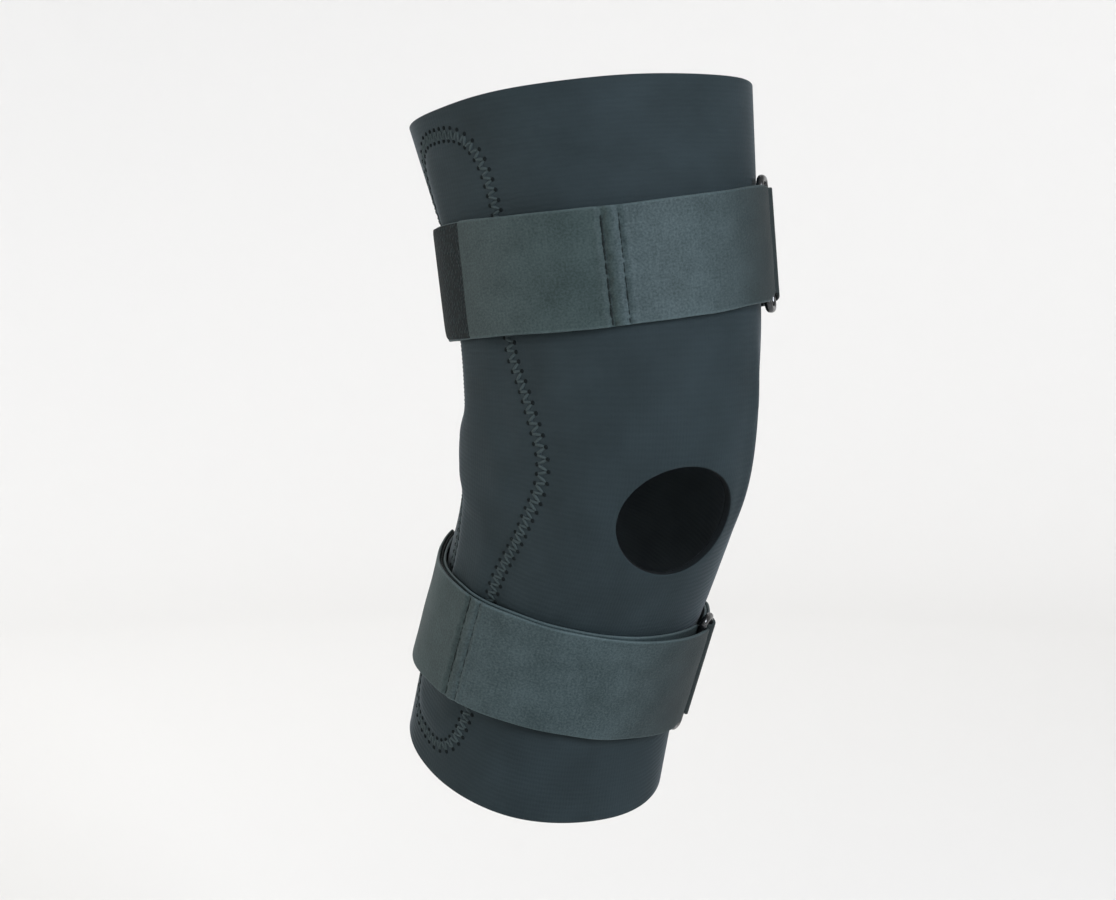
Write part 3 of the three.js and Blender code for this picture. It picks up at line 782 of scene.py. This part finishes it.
def strap_point(name, angle, lift, across):
    """Points of a strap: straight across its width, lying on the sleeve's highest line there."""
    angle, lift, across = np.broadcast_arrays(*(np.asarray(v, float) for v in (angle, lift, across)))
    width = STRAPS[name]["width"]
    middle = smooth_value(STRAP_LINES, name, wrapped(angle))
    span = shell(angle, middle + width / 2, 0) - shell(angle, middle - width / 2, 0)
    reach = width**2 / np.linalg.norm(span, axis=-1)
    low, high = shell(angle, middle - reach / 2, 0), shell(angle, middle + reach / 2, 0)
    outward = shell(angle, middle, 1) - shell(angle, middle, 0)
    outward /= np.linalg.norm(outward, axis=-1, keepdims=True)
    taper = ((high - low) * outward).sum(-1)
    bulge = np.zeros_like(angle)
    for share in np.linspace(0, 1, CHORD_STEPS + 1)[1:-1]:
        over = shell(angle, middle + (share - 0.5) * reach, 0) - (low + share * (high - low))
        bulge = np.maximum(bulge, (over * outward).sum(-1))
    away = np.abs(np.abs(wrapped(angle)) - POCKET_ANGLE)
    height = lift + bulge + RISE_HEIGHT * (1 - smooth_step(RISE_TOP_ANGLE, RISE_FOOT_ANGLE, away))
    low = shell(angle, middle - reach / 2, height + STRAP_LEAN * np.clip(taper, 0, None))
    high = shell(angle, middle + reach / 2, height + STRAP_LEAN * np.clip(-taper, 0, None))
    return low + (across / width + 0.5)[..., None] * (high - low)


def ring_degrees(name, length):
    """Degrees round the sleeve that a length takes up at a strap's ring."""
    ring = STRAPS[name]["ring"]
    ends = strap_point(name, np.array([ring - 0.5, ring + 0.5]), RING_LIFT, 0)
    return length / np.linalg.norm(ends[1] - ends[0])


def round_corners(half_short, half_long, radius, count):
    """Points of a rectangle with round corners, evenly spaced and closed."""
    corners = []
    for quarter, (x, y) in enumerate(((1, 1), (-1, 1), (-1, -1), (1, -1))):
        swing = np.radians(90 * quarter + np.linspace(0, 90, RING_CORNER_POINTS))
        across = x * (half_short - radius) + radius * np.cos(swing)
        along = y * (half_long - radius) + radius * np.sin(swing)
        corners.append(np.stack([across, along], 1))
    line = np.concatenate([*corners, corners[0][:1]])
    run = run_along(line)
    return points_along(line, run, np.linspace(0, run[-1], count, endpoint=False))


# Moulded nylon, gloss black: a smooth face with sharp lights, and faint ripples from the mould
RIPPLE_SIZE = 3
nylon_look = {"finish": {"IOR": 1.53}, "relief": (0.15, 0.3), "polish": (0.16, 0.3)}
moulded_nylon = grained("gloss black moulded nylon", "08090a", "111314", RIPPLE_SIZE, **nylon_look)

ring_tree = strand_tree("wire ring", RING_WIRE_RADIUS, RING_WIRE_SIDES, moulded_nylon)
for name, strap in STRAPS.items():
    half_long = strap["width"] / 2 + RING_END_ROOM + RING_WIRE_RADIUS
    line = round_corners(RING_BAR_SPACING / 2, half_long, RING_CORNER_RADIUS, RING_POINTS)
    points = strap_point(name, strap["ring"] + ring_degrees(name, line[:, 0]), RING_LIFT, line[:, 1])
    guide = guide_mesh(f"ring_line_{name}", points, closed_edges(RING_POINTS))
    ring = grown(f"strap_ring_{name}", ring_tree, guide, Radius=RING_WIRE_RADIUS * MM)
    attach(ring, "root")
    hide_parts(f"ring_{name}")

# Straps: flat webbing faced with brushed nylon loops, once round the sleeve and back over itself.
# One end is sewn round the ring, and a double seam across the free end holds the hook tape under it.
STRAP_STEP = 1.4
STRAP_COLUMNS = 60
STRAP_EDGE_ROUND = 0.55
STRAP_EDGE_POINTS = 7
STRAP_CORNER_ROUND = 1.2
STRAP_CORNER_STEPS = 4
TURN_STEPS = 18
SEWN_TAIL = 22
SEWN_STEPS = 10
SEWN_CLEAR = 2
SEWN_RETURN = 12
SEWN_RETURN_STEPS = 8
SEWN_FLAT_STEPS = 7
SEWN_STEP_DOWN = 7
OUTER_SETTLED_ANGLE = 24
FOLD_PINCH = (4.2, 1.2)
FOLD_PINCH_LENGTH = 6
EDGE_WAVER = 0.12
FACE_WAVE = 0.16
# Rows of the double seam, by distance past its middle: the groove that each pulls into the pile, and its thread
SEAM_ROWS = table(
    "past groove half_width pucker thread",
    (-3.2, 0.55, 0.8, 0.5, 0.3),
    (3.6, 1.05, 1.6, 0.35, 0.5),
)
SEAM_FIELD = 10
SEAM_FIELD_STEP = 0.45
SEAM_FIELD_ROOM = 0.5
SEAM_PUCKER_LENGTH = 5.5
SEAM_WANDER = 0.35
SEAM_SWELL = 0.35
SEAM_SWELL_OFFSET = 2.3
SEAM_SWELL_HALF_WIDTH = 1.2
SEAM_BAND_HALF_WIDTH = 2.6
SEAM_LUMP = 0.4
SEAM_LUMP_LENGTH = 3.4


def strap_path(name):
    """Angle, lift and layer along a strap: 1 where it has turned back over itself, 0 before."""
    strap = STRAPS[name]
    back = ring_degrees(name, 1)
    back_bar = strap["ring"] - back * RING_BAR_SPACING / 2
    front_bar = strap["ring"] + back * RING_BAR_SPACING / 2 - 360
    swing = np.linspace(0, math.pi, TURN_STEPS + 1)
    turn_out = back * TURN_RADIUS * np.sin(swing)
    turn_lift = RING_LIFT - TURN_RADIUS * np.cos(swing)
    sewn = np.linspace(0, 1, SEWN_RETURN_STEPS + 1)[1:]
    stepped = sewn[:-1]
    tail = np.linspace(SEWN_TAIL, SEWN_CLEAR, SEWN_STEPS)
    return_end = back_bar - back * (SEWN_RETURN + SEWN_CLEAR)
    tail_end = back_bar - back * (SEWN_TAIL + SEWN_CLEAR)
    return_lift = RING_OUTER_LIFT + (DOUBLE_LIFT - RING_OUTER_LIFT) * smooth_step(0, 1, sewn)
    step_lift = DOUBLE_LIFT + (BASE_LIFT - DOUBLE_LIFT) * smooth_step(0, 1, stepped)
    round_start = tail_end - back * SEWN_STEP_DOWN
    round_end = front_bar + back * TURN_RADIUS
    over_start = front_bar + back * 2 * TURN_RADIUS
    over_end = strap["end"] - 360
    way_round = np.linspace(round_start, round_end, round((round_start - round_end) / STRAP_STEP))
    way_over = np.linspace(over_start, over_end, round((over_end - over_start) / STRAP_STEP))
    at_seam = strap["seam"] - 360 + np.arange(-SEAM_FIELD, SEAM_FIELD, SEAM_FIELD_STEP) / per_degree
    corner_steps = np.linspace(0, 1, STRAP_CORNER_STEPS + 1)[1:] ** 2
    near_end = over_end - STRAP_CORNER_ROUND / per_degree * corner_steps
    clear = np.abs(way_over - strap["seam"] + 360) > SEAM_FIELD / per_degree + SEAM_FIELD_ROOM
    way_over = np.sort(np.concatenate([way_over[clear], at_seam, near_end]))
    settling = smooth_step(over_start, OUTER_SETTLED_ANGLE - 360, way_over)
    stretches = (
        (back_bar - back * tail, BASE_LIFT, 0),
        (back_bar + turn_out, turn_lift, 0),
        (back_bar - back * SEWN_RETURN * sewn, return_lift, 0),
        (np.linspace(return_end, tail_end, SEWN_FLAT_STEPS), DOUBLE_LIFT, 0),
        (tail_end - back * SEWN_STEP_DOWN * stepped, step_lift, 0),
        (way_round, BASE_LIFT, 0),
        (front_bar - turn_out, turn_lift, 1),
        (way_over, RING_OUTER_LIFT + (OUTER_LIFT - RING_OUTER_LIFT) * settling, 1),
    )
    columns = zip(*(np.broadcast_arrays(*stretch) for stretch in stretches))
    return [np.concatenate(column) for column in columns]


def ribbon_section(width, thickness, edge_round, columns):
    """Closed section of a ribbon: places across it and out of its middle, with rounded edges."""
    flat = np.linspace(-1, 1, columns) * (width / 2 - edge_round)
    swing = np.linspace(math.pi / 2, -math.pi / 2, STRAP_EDGE_POINTS)[1:-1]
    edge_across = width / 2 - edge_round + edge_round * np.cos(swing)
    edge_out = thickness / 2 * np.sin(swing)
    across = np.concatenate([flat, edge_across, flat[::-1], -edge_across])
    flat_out = np.full(columns, thickness / 2)
    out = np.concatenate([flat_out, edge_out, -flat_out, -edge_out])
    return across, out


def tube_faces(rows, columns):
    """Faces of a closed tube of rows of points, with its two ends filled by strips."""
    number = np.arange(rows * columns).reshape(rows, columns)
    half = columns // 2
    ends = []
    for row in (number[0], number[-1][::-1]):
        one, other = row[:half], row[half:][::-1]
        ends.append(np.stack([one[:-1], one[1:], other[1:], other[:-1]], 1))
    return np.concatenate([band_faces(number), *ends])


def strap_relief(name, angle, across):
    """Lift that the double seam and the webbing's own unevenness add to a strap's outer face.
    Sines of odd lengths, in millimetres, keep the lumps, puckers and waves from repeating."""
    past_seam = (wrapped(angle) - STRAPS[name]["seam"]) * per_degree
    relief = np.zeros(np.broadcast(past_seam, across).shape)
    between = np.exp(-((past_seam / SEAM_BAND_HALF_WIDTH) ** 4))
    lump = 2 * math.pi * across / SEAM_LUMP_LENGTH + 1.6 * np.sin(across / 2.3) + 0.8 * past_seam
    relief += SEAM_LUMP * between * np.sin(lump) * (0.65 + 0.35 * np.sin(across / 4.7 + 1))
    rows = (SEAM_ROWS[column] for column in ("past", "groove", "half_width", "pucker"))
    for past, groove, half_width, pucker in zip(*rows):
        along = 2 * math.pi * across / SEAM_PUCKER_LENGTH + past
        gather = 1 + pucker * (np.sin(along) + 0.5 * np.sin(1.7 * along + 1)) / 1.5
        from_row = past_seam - past - SEAM_WANDER * np.sin(0.6 * along)
        from_swell = (np.abs(from_row) - SEAM_SWELL_OFFSET) / SEAM_SWELL_HALF_WIDTH
        relief -= groove * gather * np.exp(-((from_row / half_width) ** 2))
        relief += SEAM_SWELL * gather * np.exp(-(from_swell**2))
    wave = FACE_WAVE * np.sin(past_seam / 7 + 0.06 * across) * np.sin(across / 6 + past_seam / 19)
    return STRAPS[name]["seam_pull"] * relief + wave


# Brushed loop webbing: a felt-like pile of fine nylon loops, very matt, with a painted highlight along its
# edges, where the light catches them.
# Past the seam its nap is brushed the other way, and there it is painted a little darker and greener, a painted
# shade for how the light falls on that nap.
# Near where it turns round the ring it is painted darker, a painted shade where the strap turns away from the
# light. A loop is about 0.4 mm, and is drawn coarser to show.
PILE_SIZE = 1.0
STREAK_WIDTH = 1.1
STREAK_LENGTH = 7
CLOUD_SIZE = 16
STREAK_RELIEF = 0.25
CLOUD_TONE = 0.5
PAINTED_RIM_WIDTH = 1.2
SEAM_SHADE_STEP = 1.5
FOLD_SHADE_LENGTH = 66


def loop_webbing(name, width, folds, seam):
    material, add = new_material(f"brushed loop webbing {name}")
    cloth = add("ShaderNodeUVMap", uv_map="cloth")
    pile = add("ShaderNodeTexNoise", {"Vector": cloth, "Scale": 1 / PILE_SIZE, "Detail": 3, "Roughness": 0.6})
    combed = add("ShaderNodeMapping", {"Vector": cloth, "Scale": (1 / STREAK_WIDTH, 1 / STREAK_LENGTH, 1)})
    streaks = add("ShaderNodeTexNoise", {"Vector": combed, "Scale": 1})
    clouds = add("ShaderNodeTexNoise", {"Vector": cloth, "Scale": 1 / CLOUD_SIZE})
    nap = weighted(add, streaks, STREAK_RELIEF, pile)
    bump = add("ShaderNodeBump", {"Height": nap, "Strength": 0.55, "Distance": 0.35 * MM})
    tone = weighted(add, clouds, CLOUD_TONE, nap)
    mixed = add("ShaderNodeMapRange", {"Value": tone, "From Min": 0.68, "From Max": 1.08})
    on_strap = add("ShaderNodeSeparateXYZ", {0: cloth}).outputs
    # Painted light and shade: the webbing is lighter before the seam and steps to darker, greener shades past
    # it, for how the light falls on the nap.
    seam_shading = {"Value": on_strap["X"], "From Min": seam - SEAM_SHADE_STEP, "From Max": seam + SEAM_SHADE_STEP}
    past_seam = add("ShaderNodeMapRange", seam_shading)
    shade, light = blend(add, past_seam, "1f2a2b", "1a2525"), blend(add, past_seam, "333f41", "2b3737")
    brushed = blend(add, mixed, shade, light)
    # Painted shade: the webbing darkens towards 101616 near each fold round the ring, where the strap turns
    # away from the light.
    from_folds = []
    for fold in folds:
        past_fold = add("ShaderNodeMath", {0: on_strap["X"], 1: fold}, operation="SUBTRACT")
        from_folds.append(add("ShaderNodeMath", {0: past_fold}, operation="ABSOLUTE"))
    nearest = add("ShaderNodeMath", dict(enumerate(from_folds)), operation="MINIMUM")
    pressed = {"Value": nearest, "From Max": FOLD_SHADE_LENGTH, "To Min": 0.9, "To Max": 0}
    fold_shade = add("ShaderNodeMapRange", pressed, interpolation_type="SMOOTHSTEP")
    fold_shaded = blend(add, fold_shade, brushed, "101616")
    # Painted highlight: both edges of the strap are paler towards 5a696b, for the light that catches them.
    off_centre = add("ShaderNodeMath", {0: on_strap["Y"]}, operation="ABSOLUTE")
    rim_lighting = {"Value": off_centre, "From Min": width / 2 - PAINTED_RIM_WIDTH, "From Max": width / 2, "To Max": 0.2}
    rim_light = add("ShaderNodeMapRange", rim_lighting)
    colour = blend(add, rim_light, fold_shaded, "5a696b")
    finish = {"Base Color": colour, "Roughness": 0.65, "Specular IOR Level": 0.14, "Normal": bump}
    finish |= {"Sheen Weight": 0.04, "Sheen Roughness": 0.5, "Sheen Tint": linear("c3d0d2")}
    end_material(add, finish)
    return material


def strap_run(name, path):
    """Length of a ribbon up to each step of its path."""
    return run_along(strap_point(name, path[0], path[1], 0))


def ribbon(piece_name, name, path, section, material, corners, folds=(), relief=None):
    """A ribbon along a path of angles and lifts on a strap's line, narrower at its folds round the ring.
    Its end has round corners, by the radius at its lower and its upper edge."""
    angle, lift, layer = (column[:, None] for column in path)
    across, out = section
    degrees = ring_degrees(name, 1)
    step = np.gradient(np.concatenate([angle / degrees, lift], 1), axis=0)
    step /= np.linalg.norm(step, axis=1, keepdims=True)
    run = strap_run(name, path)
    waver = EDGE_WAVER * (np.sin(run / 9) + 0.5 * np.sin(run / 4.3 + 1))[:, None]
    cut = []
    for radius, pinch in zip(corners, FOLD_PINCH):
        near_end = np.clip(radius - (run[-1] - run), 0, radius)[:, None]
        cut.append(radius - np.sqrt(radius**2 - near_end**2))
        for fold in folds:
            cut[-1] += pinch * np.exp(-(((run - fold) / FOLD_PINCH_LENGTH) ** 2))[:, None]
    share = across / np.ptp(across) + 0.5
    place = across + cut[0] * (1 - share) - cut[1] * share + waver * (2 * share - 1) ** 3
    offset = np.broadcast_to(out, place.shape)
    if relief:
        offset = offset - relief(name, angle, place) * layer * (out < 0)
    points = strap_point(name, angle + step[:, 1:] * offset * degrees, lift - step[:, :1] * offset, place)
    cloth = np.stack(np.broadcast_arrays(run[:, None], place), -1).reshape(-1, 2)
    faces = tube_faces(*points.shape[:2])
    return cloth_mesh(piece_name, points.reshape(-1, 3), faces, cloth, [material])


for name, strap in STRAPS.items():
    section = ribbon_section(strap["width"], STRAP_THICKNESS, STRAP_EDGE_ROUND, STRAP_COLUMNS)
    corners = (STRAP_CORNER_ROUND, STRAP_CORNER_ROUND)
    path = strap_path(name)
    run = strap_run(name, path)
    turned = np.argmax(path[2])
    folds = (run[SEWN_STEPS + TURN_STEPS // 2], run[turned + TURN_STEPS // 2])
    seam = run[turned + np.argmin(np.abs(path[0][turned:] - strap["seam"] + 360))]
    webbing = loop_webbing(name, strap["width"], folds, seam)
    piece = ribbon(f"strap_webbing_{name}", name, path, section, webbing, corners, folds, strap_relief)
    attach(piece, "root")
    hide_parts(f"strap_{name}")

# Strap seams: two rows of dark lockstitch across each strap, sunk into the pile.
# They hold the hook tape that starts there under the strap. The thread is the pockets', in a darker dye, and it
# is painted near black, so that it also carries the painted shade of the groove it sinks into.
STITCH_LENGTH = 3.4
STITCH_RADIUS = 0.5
STITCH_PITCH = 2.9
STITCH_SUNK = 0.05
STITCH_MARGIN = 2


def stitch_tree(material):
    """A short round stitch at each point of a guide, along the row and flat on the face."""
    tree, add, given = new_tree("lockstitch", Length=STITCH_LENGTH * MM, Radius=STITCH_RADIUS * MM)
    outward, along = guide_direction(add, "outward"), guide_direction(add, "along")
    facing = add("FunctionNodeAlignRotationToVector", {"Vector": outward}, axis="Z")
    laid = {"Rotation": facing, "Vector": along}
    laid = add("FunctionNodeAlignRotationToVector", laid, axis="X", pivot_axis="Z")
    half = add("ShaderNodeMath", {0: given["Length"], 1: 0.5}, operation="MULTIPLY")
    size = add("ShaderNodeCombineXYZ", {"X": half, "Y": given["Radius"], "Z": given["Radius"]})
    stitch = add("GeometryNodeMeshUVSphere", {"Segments": 8, "Rings": 6, "Radius": 1})
    sewn = {"Points": given["Geometry"], "Instance": stitch, "Rotation": laid, "Scale": size}
    end_tree(add, add("GeometryNodeInstanceOnPoints", sewn), material)
    return tree


# Near-black thread: its own darker dye together with the painted shade of the seam's groove.
dark_thread = grained("dark polyester thread", "0a0f10", "181f1f", TWIST_SIZE, **thread_look)
row_tree = stitch_tree(dark_thread)
for name, strap in STRAPS.items():
    half = strap["width"] / 2 - STITCH_MARGIN
    across = np.arange(-half, half, STITCH_PITCH)
    for row, (past, radius) in enumerate(zip(SEAM_ROWS["past"], SEAM_ROWS["thread"])):
        angle = np.full(len(across), strap["seam"] + past / per_degree)
        lift = OUTER_LIFT + STRAP_THICKNESS / 2 - STITCH_SUNK + strap_relief(name, angle, across)
        points = strap_point(name, angle, lift, across)
        outward = strap_point(name, angle, lift + 1, across) - points
        along = strap_point(name, angle, lift, across + 1) - points
        marks = guide_mesh(f"stitch_row_{name}_{row}", points, NO_EDGES, outward=outward, along=along)
        sizes = {"Length": STITCH_LENGTH * MM, "Radius": radius * strap["seam_pull"] * MM}
        stitches = grown(f"strap_seam_{name}_{row}", row_tree, marks, **sizes)
        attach(stitches, "root")

# Hook tabs: stiff black hook tape, sewn under each strap's end and pressed onto the strap below.
# The tape ends in a bare tab with round corners, past the end of the strap.
HOOK_INSET = 0.5
HOOK_EDGE_ROUND = 0.3
HOOK_COLUMNS = 40
HOOK_STEP = 1.2
HOOK_CORNERS = (8, 3.5)
HOOK_CORNER_STEPS = 10
HOOK_SIZE = 1.5
GROUND_RELIEF = 0.5


# Hook tape: moulded nylon hooks in close rows on a dense black ground, with a painted glint that makes the
# hooks paler, so that they sparkle a little.
# Real hooks stand under 1 mm apart, and they are drawn a little coarser.
def hook_tape():
    material, add = new_material("black hook tape")
    cloth = add("ShaderNodeUVMap", uv_map="cloth")
    hooks = add("ShaderNodeTexVoronoi", {"Vector": cloth, "Scale": 1 / HOOK_SIZE, "Randomness": 0.7})
    grain = add("ShaderNodeTexNoise", {"Vector": cloth, "Scale": 2 / HOOK_SIZE})
    standing = {"Value": hooks, "From Min": 0.1, "From Max": 0.6, "To Min": 1, "To Max": 0}
    stand = add("ShaderNodeMapRange", standing)
    height = weighted(add, grain, GROUND_RELIEF, stand)
    bump = add("ShaderNodeBump", {"Height": height, "Strength": 0.7, "Distance": 0.5 * MM})
    # Painted glint: the hooks are paler towards 18282a, broken by a fine grain.
    tone = add("ShaderNodeMath", {0: stand, 1: grain}, operation="MULTIPLY")
    colour = blend(add, tone, "060d0e", "18282a")
    finish = {"Base Color": colour, "Roughness": 0.75, "Specular IOR Level": 0.12, "Normal": bump}
    end_material(add, finish)
    return material


hook_black = hook_tape()
for name, strap in STRAPS.items():
    rounding = max(HOOK_CORNERS) / per_degree
    steps = np.arange(strap["seam"], strap["hook_end"] - rounding, HOOK_STEP)
    near_end = strap["hook_end"] - rounding * np.linspace(1, 0, HOOK_CORNER_STEPS) ** 2
    angle = np.concatenate([steps, near_end]) - 360
    path = [angle, np.full(len(angle), HOOK_LIFT), np.zeros(len(angle))]
    width = strap["width"] - 2 * HOOK_INSET
    section = ribbon_section(width, HOOK_THICKNESS, HOOK_EDGE_ROUND, HOOK_COLUMNS)
    tab = ribbon(f"hook_tape_{name}", name, path, section, hook_black, HOOK_CORNERS)
    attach(tab, "root")
    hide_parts(f"hook_tab_{name}")

# Floor and backdrop: one seamless sheet of pale matt paper, a flat round floor that curves up into a wall.
# The part hangs clear above its middle.
FLOOR_HEIGHT = -0.42
FLOOR_RADIUS = 2.4
FLOOR_RINGS = (0.3, 0.8)
COVE_RADIUS = 0.7
COVE_START = FLOOR_RADIUS - COVE_RADIUS
COVE_STEPS = 14
FLOOR_SIDES = 96
WALL_HEIGHT = 2.2
PAPER_NEAR = 0.6
sweep = np.linspace(0, math.pi / 2, COVE_STEPS)
cove = np.stack([COVE_START + COVE_RADIUS * np.sin(sweep), COVE_RADIUS * (1 - np.cos(sweep))], 1)
profile = np.concatenate([[[ring, 0] for ring in FLOOR_RINGS], cove, [[FLOOR_RADIUS, WALL_HEIGHT]]])
spin = np.linspace(0, 2 * math.pi, FLOOR_SIDES + 1)[:-1]
level = np.broadcast_to(profile[:, 1:] + FLOOR_HEIGHT, (len(profile), len(spin)))
dish = np.stack([profile[:, :1] * np.cos(spin), profile[:, :1] * np.sin(spin), level], -1)
dish_number = np.arange(dish.size // 3).reshape(dish.shape[:2])
dish_faces = [*band_faces(dish_number).tolist(), dish_number[0].tolist()]


# Matt paper: an even pale ground with no gloss, a little darker under the part, where the light is strongest
def backdrop_paper():
    material, add = new_material("matt backdrop paper")
    place = add("ShaderNodeTexCoord").outputs["Object"]
    reach = add("ShaderNodeVectorMath", {0: place}, operation="LENGTH").outputs["Value"]
    far = add("ShaderNodeMapRange", {"Value": reach, "From Min": PAPER_NEAR, "From Max": COVE_START})
    colour = blend(add, far, "d0cfcd", "e5e4e2")
    end_material(add, {"Base Color": colour, "Roughness": 1, "Specular IOR Level": 0})
    return material


backdrop_mesh = bpy.data.meshes.new("backdrop")
backdrop_mesh.from_pydata(dish.reshape(-1, 3).tolist(), [], dish_faces)
backdrop_mesh.polygons.foreach_set("use_smooth", np.ones(len(dish_faces), bool))
backdrop_mesh.materials.append(backdrop_paper())
backdrop = new_object("backdrop", backdrop_mesh)

# Studio light: a cool soft box in front, to the right of the camera, a wider one on the lateral side,
# a third from above and behind, and a pale room that fills in the shade.
LIGHTS = {
    "key": {"azimuth": 4, "elevation": 20, "distance": 1.6, "size": 0.6, "watts": 42, "colour": "eff4ff"},
    "fill": {"azimuth": -115, "elevation": 10, "distance": 1.8, "size": 1.0, "watts": 25, "colour": "ffffff"},
    "top": {"azimuth": 165, "elevation": 45, "distance": 1.9, "size": 1.2, "watts": 14, "colour": "ffffff"},
}
ROOM_STRENGTH = 0.55


def direction(azimuth, elevation):
    """Direction from the part to a place round it: azimuth 0 is in front, 90 on the medial side."""
    a, e = math.radians(azimuth), math.radians(elevation)
    return Vector((math.sin(a) * math.cos(e), -math.cos(a) * math.cos(e), math.sin(e)))


for label, light in LIGHTS.items():
    lamp = bpy.data.lights.new(label, "AREA")
    lamp.size = light["size"]
    lamp.energy = light["watts"]
    lamp.color = linear(light["colour"])[:3]
    holder = new_object(label, lamp)
    toward = direction(light["azimuth"], light["elevation"])
    holder.location = toward * light["distance"]
    holder.rotation_euler = toward.to_track_quat("Z", "Y").to_euler()
    holder.visible_camera = False
world = bpy.data.worlds.new("pale room")
world.use_nodes = True
room = world.node_tree.nodes["Background"].inputs
room["Color"].default_value = linear("f6f5f3")
room["Strength"].default_value = ROOM_STRENGTH
bpy.context.scene.world = world
bpy.context.scene.view_settings.view_transform = "Standard"

# Camera: a little above the bend's height, in front and to the lateral side, with a long lens.
CAMERA_PLACE = Vector((-0.67333, -1.02187, 0.18019))
CAMERA_TARGET = Vector((-0.01694, 0.01116, 0.00123))
SENSOR_WIDTH = 36
LENS = 90.36
camera_data = bpy.data.cameras.new("camera")
camera_data.sensor_fit = "HORIZONTAL"
camera_data.sensor_width = SENSOR_WIDTH
camera_data.lens = LENS
camera = new_object("camera", camera_data)
camera.location = CAMERA_PLACE
camera.rotation_euler = (CAMERA_TARGET - CAMERA_PLACE).to_track_quat("-Z", "Y").to_euler()
bpy.context.scene.camera = camera
